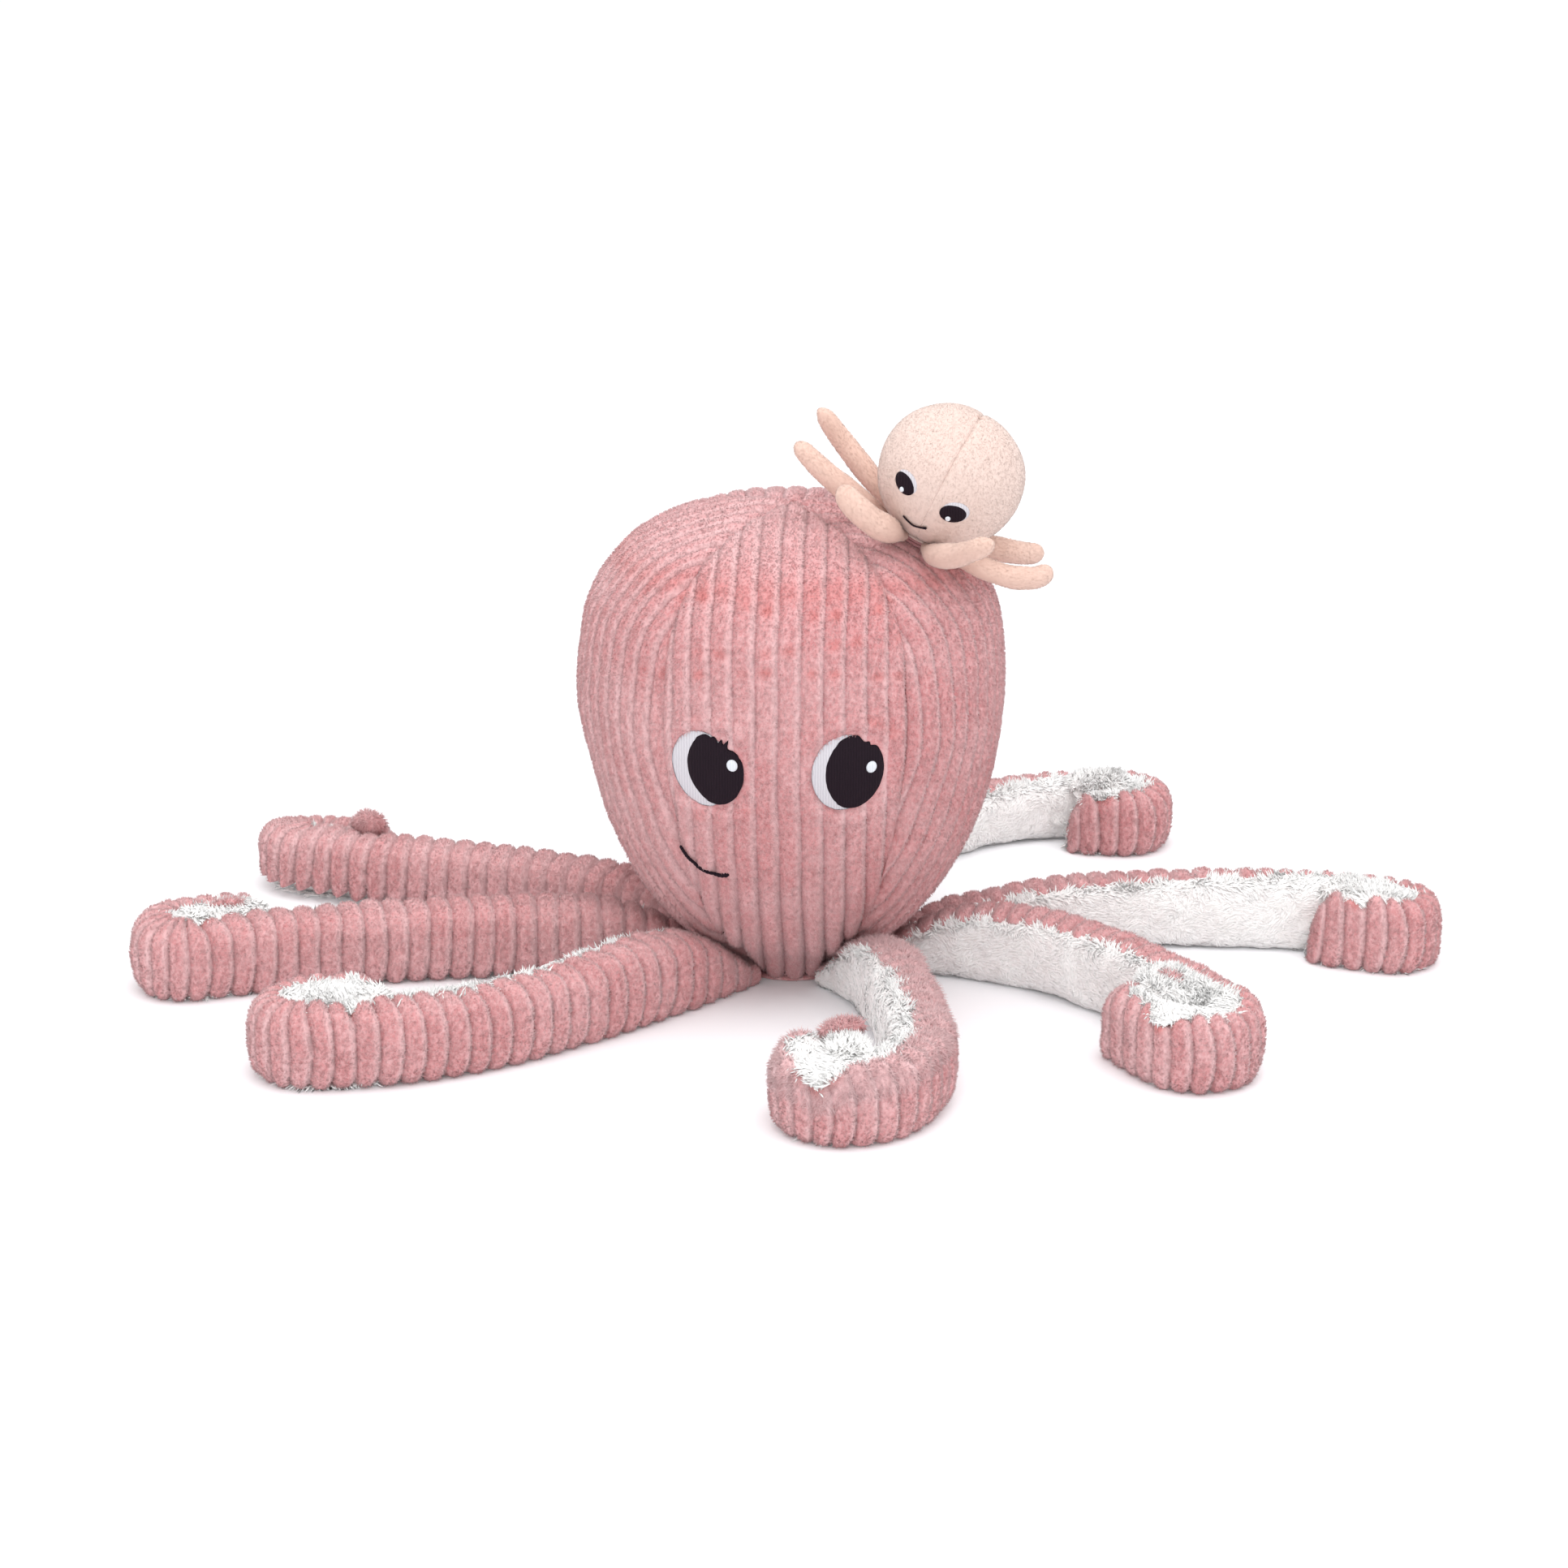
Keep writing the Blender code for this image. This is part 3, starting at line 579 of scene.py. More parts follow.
# %% Material helpers
# What the kinds of pile look like. Surface: roughness, sheen, and the sheen's roughness and tint.
# Grain: tufts per metre and depth. Patches: how many per metre and their contrast. Shares: how
# much paler grain and patches make the pile, how much the tips do, and how much a mark shows.
# Bump: distance and strength
CORDUROY_PILE = {
    "surface": (0.92, 0.30, 0.42, (1.0, 0.86, 0.86, 1.0)),
    "grain": (1700.0, 0.95),
    "patches": (34.0, 0.42),
    "shares": (0.5, 0.62, 0.7),
    "bump": (0.0004, 0.35),
}
LONG_PILE = {
    "surface": (0.95, 0.25, 0.5, (1.0, 1.0, 1.0, 1.0)),
    "grain": (700.0, 0.5),
    "patches": (70.0, 0.6),
    "shares": (0.3, 0.7, 0.0),
    "bump": (0.0006, 0.25),
}
SHORT_PILE = {
    "surface": (0.9, 0.3, 0.45, (1.0, 0.95, 0.92, 1.0)),
    "grain": (2400.0, 0.14),
    "patches": (60.0, 0.2),
    "shares": (0.5, 0.06, 1.0),
    "bump": (0.0001, 0.12),
}


def new_material(name, roughness, sheen, sheen_roughness, sheen_tint, gloss=0.25):
    """A material with its node tree and its shader."""
    material = bpy.data.materials.new(name)
    material.use_nodes = True
    shader = material.node_tree.nodes["Principled BSDF"]
    shader.inputs["Roughness"].default_value = roughness
    shader.inputs["Specular IOR Level"].default_value = gloss
    shader.inputs["Sheen Weight"].default_value = sheen
    shader.inputs["Sheen Roughness"].default_value = sheen_roughness
    shader.inputs["Sheen Tint"].default_value = sheen_tint
    return material, material.node_tree, shader


def dress(tree, shader, colour, height, distance, strength):
    """Colour and bump for a shader."""
    links = {"Height": height, "Distance": distance, "Strength": strength}
    bump = put(tree, "ShaderNodeBump", {}, links)
    tree.links.new(bump.outputs["Normal"], shader.inputs["Normal"])
    tree.links.new(colour, shader.inputs["Base Color"])


def make_plush(name, kind, deep, pale, marked=None, paleness=0.0, lines=()):
    """Pile between two colours. A mark has a third one, and lines add to it along the ribs."""
    material, tree, shader = new_material(name, *kind["surface"])
    # The mesh carries the rib count, the mark and the share of a lock from root to tip
    read = put(tree, "ShaderNodeAttribute", {"attribute_name": "cloth"})
    ribs, mark, tips = put(tree, "ShaderNodeSeparateXYZ", {}, {0: read.outputs["Vector"]}).outputs
    grain = use_group(tree, PILE_GRAIN, kind["grain"])
    patches = use_group(tree, BRUSHED_PATCHES, kind["patches"])
    of_both, of_tips, of_mark = kind["shares"]
    tone = sums(tree, "ADD", grain["Shade"], patches["Mask"])
    tone = sums(tree, "MULTIPLY_ADD", tone, of_both, paleness)
    tone = sums(tree, "MULTIPLY_ADD", tips, of_tips, tone)
    colour = blend_colours(tree, tone, deep, pale)
    # The mark colour: on the corduroy, deeper pile in dimples and painted shade in folds and creases; on
    # the peach plush, the arms' warmer peach
    if marked:
        colour = blend_colours(tree, sums(tree, "MULTIPLY", mark, of_mark), colour, marked)
    # Lines along the ribs: a painted highlight on the pale edge and painted shade in the groove
    for label, strength, tint in lines:
        line = use_group(tree, RIB_LINES, (ribs,))[label]
        colour = blend_colours(tree, sums(tree, "MULTIPLY", line, strength), colour, tint)
    dress(tree, shader, colour, grain["Height"], *kind["bump"])
    return material


# %% [markdown]
# ### Rose corduroy
# The cloth of the head and the outside of the arms. Pile that stands shows a deeper rose, and
# pile that lies shows a paler one, so the colour is a mix of the two, patch by patch.

# %% Corduroy
ROSE_DEEP = (0.575, 0.212, 0.218, 1.0)
ROSE_PALE = (0.790, 0.508, 0.515, 1.0)
# Pale rib edge: thinner pile there, with a painted highlight
ROSE_EDGE_HIGHLIGHT = (0.825, 0.615, 0.620, 1.0)
# Dark groove line: painted shade
ROSE_GROOVE_SHADE = (0.500, 0.230, 0.260, 1.0)
# Marks: deeper pile in the dimples, and painted shade in folds and creases
ROSE_DIMPLE_AND_CREASE_SHADE = (0.660, 0.200, 0.190, 1.0)


def make_corduroy(name, paleness, edge_highlight_strength, groove_shade_strength):
    lines = (("Edge highlight", edge_highlight_strength, ROSE_EDGE_HIGHLIGHT), ("Groove shade", groove_shade_strength, ROSE_GROOVE_SHADE))
    return make_plush(name, CORDUROY_PILE, ROSE_DEEP, ROSE_PALE, ROSE_DIMPLE_AND_CREASE_SHADE, paleness, lines)


HEAD_CORDUROY = make_corduroy("rose_corduroy_of_the_head", -0.218, 0.42, 0.28)
# The arms' copy of the same corduroy is painted paler, as painted light on the arms
ARM_CORDUROY = make_corduroy("rose_corduroy_of_the_arms", -0.158, 0.50, 0.22)
print("made", HEAD_CORDUROY.name, "and", ARM_CORDUROY.name)

# %% [markdown]
# ### White and peach plush
# The white pile is long and soft: its roots are a warmer white with painted shade between the
# tufts, and its tips are white. The baby octopus is cut from a short, even plush, so its grain is
# finer and its patches faint, and its arms are warmer.

# %% White and peach plush
# Root colour: a warmer white, with painted shade between the tufts
WHITE_ROOT_AND_SHADE = (0.955, 0.945, 0.925, 1.0)
WHITE_TIP = (0.985, 0.98, 0.975, 1.0)
PEACH_DEEP = (0.750, 0.555, 0.487, 1.0)
PEACH_PALE = (0.765, 0.630, 0.577, 1.0)
PEACH_WARM = (0.760, 0.475, 0.370, 1.0)

WHITE_PLUSH = make_plush("white_plush", LONG_PILE, WHITE_ROOT_AND_SHADE, WHITE_TIP)
PEACH_PLUSH = make_plush("peach_plush", SHORT_PILE, PEACH_DEEP, PEACH_PALE, PEACH_WARM)
print("made", WHITE_PLUSH.name, "and", PEACH_PLUSH.name)

# %% [markdown]
# ### Thread, filling and tape
# The eyes are filled with satin stitches that lie side by side. The stuffing is a cloud of
# white fibre, and the tape that holds the baby octopus is covered with tiny loops.

# %% Thread, filling and tape
FILLING_COLOURS = ((0.76, 0.76, 0.74, 1.0), (0.93, 0.93, 0.91, 1.0))
TAPE_COLOURS = ((0.48, 0.20, 0.21, 1.0), (0.72, 0.40, 0.41, 1.0))


def make_thread(name, dark, light, sheen):
    material, tree, shader = new_material(name, 0.62, sheen, 0.35, (1.0, 1.0, 1.0, 1.0), 0.12)
    stitches = use_group(tree, SATIN_STITCH, (2200.0,))["Stitches"]
    dress(tree, shader, blend_colours(tree, stitches, dark, light), stitches, 0.00025, 0.6)
    return material


EYE_WHITE = make_thread("white_satin_stitch", (0.53, 0.51, 0.55, 1.0), (0.70, 0.68, 0.72, 1.0), 0.05)
WHITE_THREAD = make_thread("white_thread", (0.66, 0.69, 0.74, 1.0), (0.78, 0.81, 0.86, 1.0), 0.05)
BLACK_THREAD = make_thread("black_thread", (0.009, 0.004, 0.008, 1.0), (0.016, 0.008, 0.014, 1.0), 0.0)
FILLING = make_plush("fibre_stuffing", LONG_PILE, *FILLING_COLOURS)
TAPE = make_plush("hook_and_loop_tape", SHORT_PILE, *TAPE_COLOURS)
print("materials", len(bpy.data.materials))

# %% [markdown]
# ## The big head
# A stuffed ball under four panels of corduroy. On flat cloth the ribs run straight and
# parallel, so on each panel they stay parallel to its middle and are cut off by the seams at
# its sides. That is why they sweep together towards the crown.

# %% Profile of a stuffed head


class Dome:
    """A turned profile as evenly spaced rows of radius, height and outward normal."""

    def __init__(self, shares, radius, height, base, count):
        line = smooth_line([(radius * across, base + height * up) for up, across in shares], count)
        along = unit(np.gradient(line, axis=0))
        self.rows = np.arange(count)
        self.radius = np.maximum(line[:, 0], 0.0)
        self.height = line[:, 1]
        self.normal = np.stack([along[:, 1], -along[:, 0]], axis=1)
        self.length = travelled(line)[-1]

    def read(self, rows):
        """Radius, height and normal at these rows, or between them."""
        columns = (self.radius, self.height, *self.normal.T)
        return [np.interp(rows, self.rows, column) for column in columns]

    def at_height(self, height):
        """Radius and normal of the profile at these heights."""
        radius, _, across, up = self.read(np.interp(height, self.height, self.rows))
        return radius, across, up

    def place(self, azimuth, height, lift):
        """Points over the surface at these azimuths and heights."""
        radius, across, up = self.at_height(height)
        level = (radius + lift * across)[..., None] * headings(azimuth)
        level[..., 2] = height + lift * up
        return level

    def grid(self, azimuth, rows, lift):
        """A grid of points over the surface, lifted along its normals."""
        radius, height, across, up = (column[:, None] for column in self.read(rows))
        points = (radius + lift * across)[..., None] * headings(azimuth)
        points[..., 2] = height + lift * up
        return points

    def cloth(self, azimuth, lift, depth):
        """The outer grid of a cloth and its coarse inner one."""
        inner = self.grid(azimuth[:, ::SHELL_STEP], self.rows[::SHELL_STEP], -depth)
        return self.grid(azimuth, self.rows, lift), inner


HEAD_SPACING = 0.00078
HEAD_PROFILE_LENGTH = 0.228
HEAD_ROWS = fit_count(HEAD_PROFILE_LENGTH, HEAD_SPACING)
head_dome = Dome(HEAD_PROFILE_SHARES, HEAD_RADIUS, HEAD_HEIGHT, HEAD_BASE, HEAD_ROWS)
print("head profile", round(float(head_dome.length), 4), "m long in", HEAD_ROWS, "rows")

# %% The eyes' places, which the cloth gives way to
FACE_AZIMUTH = 268.8
EYE_HEIGHT = 0.0922
EYE_SPREAD = 0.0482
PUPIL_SIZE = (0.0196, 0.0248)
EYE_WHITE_SIZE = (0.0220, 0.0268)
EYE_WHITE_ASIDE = 0.0056
GLINT_SIZE = (0.0037, 0.0042)
# Both pupils look to the image's right, but neither sits quite in the middle of its place. For
# each eye: the turn of the ovals, how far the pupil and the glint sit aside and up, how much
# larger the pupil is, and how deep, where and how wide the pile eats into the outline
EYES = {
    "left": (4.0, (-0.0009, 0.0005), (0.0056, 0.0028), 1.03, (0.17, 58.0, 0.62)),
    "right": (0.0, (-0.0023, 0.0001), (0.0033, 0.0018), 1.05, (0.10, 62.0, 0.30)),
}
EYE_TURN = math.degrees(EYE_SPREAD / 2.0 / float(head_dome.at_height(EYE_HEIGHT)[0]))
EYE_FIELD = (0.0285, 0.0272)
EYE_FIELD_ASIDE = 0.0026


def eye_distance(azimuth, height, radius):
    """1 on the rim of the nearer eye, less inside it; and the signed height from its middle."""
    upward = (height - EYE_HEIGHT) / (EYE_FIELD[1] / 2.0)
    nearest = np.full(np.broadcast(azimuth, height).shape, 99.0)
    for turn in (-EYE_TURN, EYE_TURN):
        aside = radius * np.radians(azimuth - FACE_AZIMUTH - turn) + EYE_FIELD_ASIDE
        nearest = np.minimum(nearest, np.hypot(aside / (EYE_FIELD[0] / 2.0), upward))
    return nearest, upward


# %% [markdown]
# The relief of the head's cloth is a sum of small, separate effects: the ribs, the valleys at
# the seams, the lumps of the filling, the dimples where the ribs were pressed, the puckers
# above and below the embroidery, and the pile itself.

# %% Relief of the head's cloth
RIB_PITCH = 0.0075
HEAD_RIB_DEPTH = 0.0015
# Depth and width of the valleys at a seam, a narrow one in a broad one
HEAD_SEAM_VALLEYS = ((0.0013, 0.0020), (0.0008, 0.0075))
HEAD_WAVER = 0.00045
HEAD_LUMPS = ((0.0009, 0.034, 5), (0.00035, 0.012, 6))
DIMPLE_SIZE = 0.0017
DIMPLE_DEPTH = 0.0006
EYE_SOCKET = 0.0010
PUCKER_DEPTH = 0.0011
# Ribs stand higher and rounder near the floor: between these heights
LOW_RIBS = (0.02, 0.08)
ROUND_RIBS = (0.03, 0.10)
ROUGHNESS = ((0.00016, 0.0011, 9), (0.000096, 0.0024, 10))
# Heights of the three rows of pressed dimples, and how strong each row is
DIMPLE_ROWS = ((0.1455, 1.0), (0.1335, 0.7), (0.1245, 0.9))
# Height of a line of painted shade round the crown
CROWN_CREASE = 0.1490
# How far over the front panel the dimples are strong, in azimuths
DIMPLED = (222.0, 240.0, 292.0, 312.0)
RIB_PHASES = dict.fromkeys(HEAD_PANELS, 0.5) | {"head_front_panel": 0.25}


def rib_relief(place, sharpness):
    """Height of a rib, from 0 in the groove to 1 on its back. Grooves are at whole numbers."""
    across = np.abs(2.0 * (place - np.floor(place)) - 1.0)
    return 1.0 - across**sharpness


def head_dimples(place, height, azimuth, near_eye):
    """Rows of dimples where the ribs were pressed, mostly over the face."""
    dimples = 0.0 * place
    number = np.floor(place)
    for level, strength in DIMPLE_ROWS:
        shift = 0.0022 * np.sin(number * 12.9898 + level * 4000.0)
        keep = strength * rise(np.sin(number * 4.1 + level * 900.0), -0.75, 0.45)
        dimples += keep * bell(height - level - shift, DIMPLE_SIZE) * rib_relief(place, 2.0) ** 2
    fade = rise(azimuth, *DIMPLED[:2]) * (1.0 - rise(azimuth, *DIMPLED[2:]))
    return dimples * (0.25 + 0.75 * fade) * rise(near_eye, 1.2, 1.6)


def head_relief(panel, azimuth):
    """Lift over the plain dome, rib count, and marks for the dimples and for painted shade in folds and
    creases, for a grid of azimuths.
    """
    start, end = HEAD_PANELS[panel]
    radius = head_dome.radius[:, None]
    height = head_dome.height[:, None]
    base = radius[..., None] * headings(azimuth)
    base[..., 2] = height
    across = radius * np.radians(azimuth - (start + end) / 2.0)
    place = (across + HEAD_WAVER * lumps(base, 0.022, 3)) / RIB_PITCH + RIB_PHASES[panel]
    seam = radius * np.radians(np.minimum(azimuth - start, end - azimuth))
    near_eye, above = eye_distance(azimuth, height, radius)
    dimples = head_dimples(place, height, azimuth, near_eye)
    depth = HEAD_RIB_DEPTH * rise(near_eye, 1.0, 1.45) * (2.0 - rise(height, *LOW_RIBS))
    sharpness = 2.5 + 1.1 * rise(height, *ROUND_RIBS)
    lift = depth * (rib_relief(place, sharpness) - sharpness / (sharpness + 1.0))
    lift -= sum(deep * bell(seam, wide) for deep, wide in HEAD_SEAM_VALLEYS)
    lift += layered(base, HEAD_LUMPS)
    lift -= DIMPLE_DEPTH * dimples
    lift -= EYE_SOCKET * (1.0 - rise(near_eye, 0.92, 1.22))
    pucker = bell(near_eye - 1.28, 0.17) * rise(np.abs(above), 0.5, 1.2)
    folds = lumps(base, 0.0065, 8)
    lift += PUCKER_DEPTH * pucker * (0.6 + 0.8 * folds)
    lift += layered(base, ROUGHNESS)
    # A line of painted shade round the crown
    crease = 0.5 * bell(height - CROWN_CREASE, 0.0045)
    crease = crease * rise(height, CROWN_CREASE - 0.006, CROWN_CREASE)
    # Marks: the dimples, and painted shade in the pucker folds and on the crown's line
    marks = dimples + 0.8 * (pucker * rise(-folds, 0.1, 0.8)) + crease
    return lift, place, np.clip(marks, 0.0, 1.0)


# %% Head panels
# Of a pile: locks on a square millimetre, their length and their width
HEAD_PILE = (2.0, 0.0011, 0.0005)
HEAD_COVER_DEPTH = CLOTH_THICKNESS + 0.0012
# The crown's pile is a little paler, and light from above is painted on it, between these heights
CROWN_PALENESS_AND_TOP_LIGHT = 0.25
CROWN_HEIGHTS = (0.150, 0.163)
# Short pile: disorder of the comb, lean, curl, and the range of lengths
COMB_DISORDER = 0.6
PILE_LEAN = 0.55
PILE_CURL = 0.3
PILE_LENGTHS = (0.7, 1.15)


def grid_normals(grid):
    """Outward unit normals of a grid whose rows go up and columns go anticlockwise."""
    return unit(np.cross(np.gradient(grid, axis=1), np.gradient(grid, axis=0)))


def scattered(grid, density, random):
    """Random places on a grid, as rows and columns with a share of each, evenly by area."""
    down = np.linalg.norm(np.diff(grid, axis=0), axis=2)[:, :-1]
    wide = np.linalg.norm(np.diff(grid, axis=1), axis=2)[:-1, :]
    area = (down * wide).ravel()
    count = int(area.sum() * 1e6 * density)
    cells = random.choice(len(area), size=count, p=area / area.sum())
    row, column = np.divmod(cells, grid.shape[1] - 1)
    return row, column, random.random(count), random.random(count)


def read_grid(values, places):
    """Values of a grid at scattered places."""
    row, column, down, across = places
    shape = (-1,) + (1,) * (values.ndim - 2)
    down = down.reshape(shape)
    across = across.reshape(shape)
    low = values[row, column] * (1.0 - across) + values[row, column + 1] * across
    high = values[row + 1, column] * (1.0 - across) + values[row + 1, column + 1] * across
    return low * (1.0 - down) + high * down


def in_the_cloth(comb, normal):
    """Directions without what points out of the cloth."""
    return unit(comb - (comb * normal).sum(axis=1, keepdims=True) * normal)


def short_pile(outer, cloth, pile, seed, avoid=None, flow=(0.0, 0.0, -1.0), smoothness=1.0):
    """Short locks all over a grid, combed one way with some disorder."""
    density, length, width = pile
    random = np.random.default_rng(seed)
    places = scattered(outer, density, random)
    roots = read_grid(outer, places)
    normal = unit(read_grid(grid_normals(outer), places))
    values = read_grid(cloth, places)
    if avoid is not None:
        kept = read_grid(avoid, places) > 0.5
        roots, normal, values = roots[kept], normal[kept], values[kept]
    comb = in_the_cloth(np.array(flow) + COMB_DISORDER * random.normal(size=roots.shape), normal)
    sizes = length * random.uniform(*PILE_LENGTHS, len(roots))
    growth = (unit(normal + PILE_LEAN * comb), PILE_CURL * comb, sizes, width)
    points, faces, own, nap = pile_locks(roots, normal, *growth, random, False)
    repeated = np.repeat(values, len(points) // max(len(roots), 1), axis=0)
    repeated[:, 2] += own[:, 2]
    return part_of(points, faces, repeated, smoothness * nap)


def sheet_part(outer, inner, cloth):
    """A closed sheet with the cloth values of its outer side."""
    points, faces = closed_sheet(outer, inner)
    values = np.full((len(points), 3), 0.2)
    values[: cloth.shape[0] * cloth.shape[1]] = cloth.reshape(-1, 3) + (0.0, 0.0, 0.2)
    return part_of(points, faces, values)


def finish_piece(piece, body, node, bend=None):
    """Hide the solid that the piece replaces, and put the piece on its body. Bend: the body it is sewn to,
    and where it starts and ends; its values are not used, and a piece given one is left off its body.
    """
    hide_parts(node)
    if bend is None:
        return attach(piece, body)
    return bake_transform(piece)


def make_head_panel(name, seed):
    start, end = HEAD_PANELS[name]
    columns = fit_count(HEAD_RADIUS * math.radians(end - start), HEAD_SPACING)
    azimuth = np.linspace(start, end, columns)[None, :]
    lift, place, marks = head_relief(name, azimuth)
    outer, inner = head_dome.cloth(azimuth, lift, HEAD_COVER_DEPTH)
    height = head_dome.height[:, None]
    # Paler pile with painted light from above, at the crown
    crown = CROWN_PALENESS_AND_TOP_LIGHT * rise(height, *CROWN_HEIGHTS)
    cloth = np.stack([place, marks, crown + 0.0 * place], axis=-1)
    clear = (eye_distance(azimuth, height, head_dome.radius[:, None])[0] > 0.99).astype(float)
    parts = [sheet_part(outer, inner, cloth), short_pile(outer, cloth, HEAD_PILE, seed, clear)]
    piece = new_piece(name + "_cloth", parts, HEAD_CORDUROY)
    return finish_piece(piece, "head", name)


for seed, name in enumerate(HEAD_PANELS):
    piece = make_head_panel(name, 100 + seed)
    print(piece.name, len(piece.data.polygons), "faces")

# %% [markdown]
# ## Filling and base
# Under the cloth lies the fibre. It is made as a closed lumpy body a little smaller than the
# cover. The base disc closes the head underneath, and its cloth is ribbed too.

# %% Head filling and base disc
FILLING_DEPTH = 0.0042
FILLING_LUMPS = 0.22
DISC_RIM = 0.3
DISC_RINGS = (0.93, 0.7, 0.35, 0.02)
DISC_PILE = 0.00004


def make_head_filling(dome, name, node, body, depth, sides, matrix=None):
    azimuth = np.linspace(0.0, 360.0, sides, endpoint=False)[None, :]
    rows = np.linspace(0.0, len(dome.radius) - 1.0, 90)
    still = dome.grid(azimuth, rows, 0.0)
    rings = dome.grid(azimuth, rows, -depth * (1.0 + FILLING_LUMPS * lumps(still, depth * 3.0, 21)))
    piece = tube_piece(name, rings, FILLING, matrix)
    return finish_piece(piece, body, node)


def make_disc(name, node, slot, body, material, radius, bottom, top, matrix=None):
    """A sewn disc of cloth: flat below, with a rounded rim and a little pile above."""
    random = np.random.default_rng(len(name))
    rim = (top - bottom) * DISC_RIM
    outline = [(radius * share, bottom) for share in DISC_RINGS[::-1]]
    outline += [(radius, bottom + rim), (radius, top - rim)]
    outline += [(radius * share, top) for share in DISC_RINGS]
    turns = headings(np.linspace(0.0, 360.0, 72, endpoint=False))
    rings = np.array([across * turns + (0.0, 0.0, height) for across, height in outline])
    points, faces = closed_tube(rings)
    cloth = np.zeros((len(points), 3))
    cloth[:, 0] = points[:, 0] / RIB_PITCH + 0.5
    points = points + DISC_PILE * random.normal(size=points.shape) * (points[:, 2:3] > bottom)
    piece = new_piece(name, [part_of(points, faces, cloth)], material, matrix)
    return finish_piece(piece, body, node)


make_head_filling(head_dome, "head_filling", "head_stuffing", "head", FILLING_DEPTH, 120)
disc_low, disc_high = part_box("base_disc")
make_disc(
    "base_disc_cloth", "base_disc", "corduroy", "head", HEAD_CORDUROY, disc_high.x, disc_low.z, disc_high.z
)
print("base disc", round(2.0 * disc_high.x, 4), "m across")

# %% [markdown]
# ## Embroidered face
# Each eye is three layers of satin stitch: a white field, the black pupil and a small glint.
# A layer is a thin closed cushion that follows the head. Where the pile of the cloth leans
# over the black thread, the outline is ragged.

# %% Embroidery
PLAIN_RIM = (0.0, 60.0, 0.5)
OVAL_RINGS = 22
OVAL_SPOKES = 140
OVAL_TEETH = 60
OVAL_DEPTH = 0.0009
# Node, slot and material of an eye's layers, from the cloth up
EYE_LAYERS = (
    ("eye_white", "eye_white", EYE_WHITE),
    ("pupil", "black_thread", BLACK_THREAD),
    ("eye_glint", "white_thread", WHITE_THREAD),
)


def stitched_oval(name, dome, azimuth, height, size, tilt, lift, thickness, bite):
    """A thin closed cushion on a dome. Bite: how deep, where and how wide the pile eats into it."""
    turn = np.linspace(0.0, 2.0 * math.pi, OVAL_SPOKES, endpoint=False)
    teeth = np.r_[np.random.default_rng(len(name) * 7).uniform(-1, 1, OVAL_TEETH), 0.0]
    teeth = np.interp(turn, np.linspace(0.0, 2.0 * math.pi, OVAL_TEETH + 1), teeth)
    depth, middle, wide = bite
    bitten = np.exp(-(((turn - math.radians(middle)) / wide) ** 4))
    edge = 1.0 + depth * bitten * (0.7 * teeth - 0.75) + 0.006 * teeth
    shares = np.linspace(0.02, 1.0, OVAL_RINGS)
    share = np.concatenate([shares, [1.0], shares[::-1]])[:, None]
    crown = thickness * (1.0 - shares**7)
    under = np.full(OVAL_RINGS, -OVAL_DEPTH)
    above = np.concatenate([under, [lift * 0.5], (lift + crown)[::-1]])[:, None]
    tilt = math.radians(tilt)
    wide = share * edge[None] * size[0] / 2.0 * np.cos(turn)
    tall = share * edge[None] * size[1] / 2.0 * np.sin(turn)
    aside = wide * math.cos(tilt) - tall * math.sin(tilt)
    upward = wide * math.sin(tilt) + tall * math.cos(tilt)
    radius = float(dome.at_height(height)[0])
    return dome.place(azimuth + np.degrees(aside / radius), height + upward, above)


def make_eye(side, dome, body, azimuth, aside, radius, height, tilt, thickness, layers, matrix=None):
    """Three stitched ovals. For each layer: its size, place, lift over the cloth, and bite."""
    for (layer, slot, material), (size, place, lift, bite) in zip(EYE_LAYERS, layers):
        name = f"{side}_{layer}_stitching"
        turned = azimuth + math.degrees((aside + place[0]) / radius)
        grid = stitched_oval(name, dome, turned, height + place[1], size, tilt, lift, thickness, bite)
        piece = tube_piece(name, grid, material, matrix)
        finish_piece(piece, body, f"{side}_{layer}")


for side, turn in (("left", -EYE_TURN), ("right", EYE_TURN)):
    tilt, pupil_place, glint_place, growth, bite = EYES[side]
    pupil_size = (PUPIL_SIZE[0] * growth, PUPIL_SIZE[1] * growth)
    layers = (
        (EYE_WHITE_SIZE, (-EYE_WHITE_ASIDE, 0.0), -0.0006, PLAIN_RIM),
        (pupil_size, pupil_place, -0.0002, bite),
        (GLINT_SIZE, glint_place, 0.0003, PLAIN_RIM),
    )
    radius = float(head_dome.at_height(EYE_HEIGHT)[0])
    make_eye(
        side, head_dome, "head", FACE_AZIMUTH + turn, 0.0, radius, EYE_HEIGHT, tilt, 0.0006, layers
    )
print("eyes", round(2.0 * EYE_TURN, 1), "degrees apart")

# %% [markdown]
# The smile is one thick thread, twisted from two plies, laid over the ribs in a curve and
# stitched down. It rises and falls with the ribs under it.

# %% Smile
SMILE_CORNER = 235.2
SMILE_LOW = 0.0528
SMILE_SIZE = (0.0160, 0.0094)
SMILE_SHARES = ((0.0, 1.0), (0.17, 0.43), (0.41, 0.14), (0.70, 0.0), (1.0, 0.08))
SMILE_THREAD = 0.0012


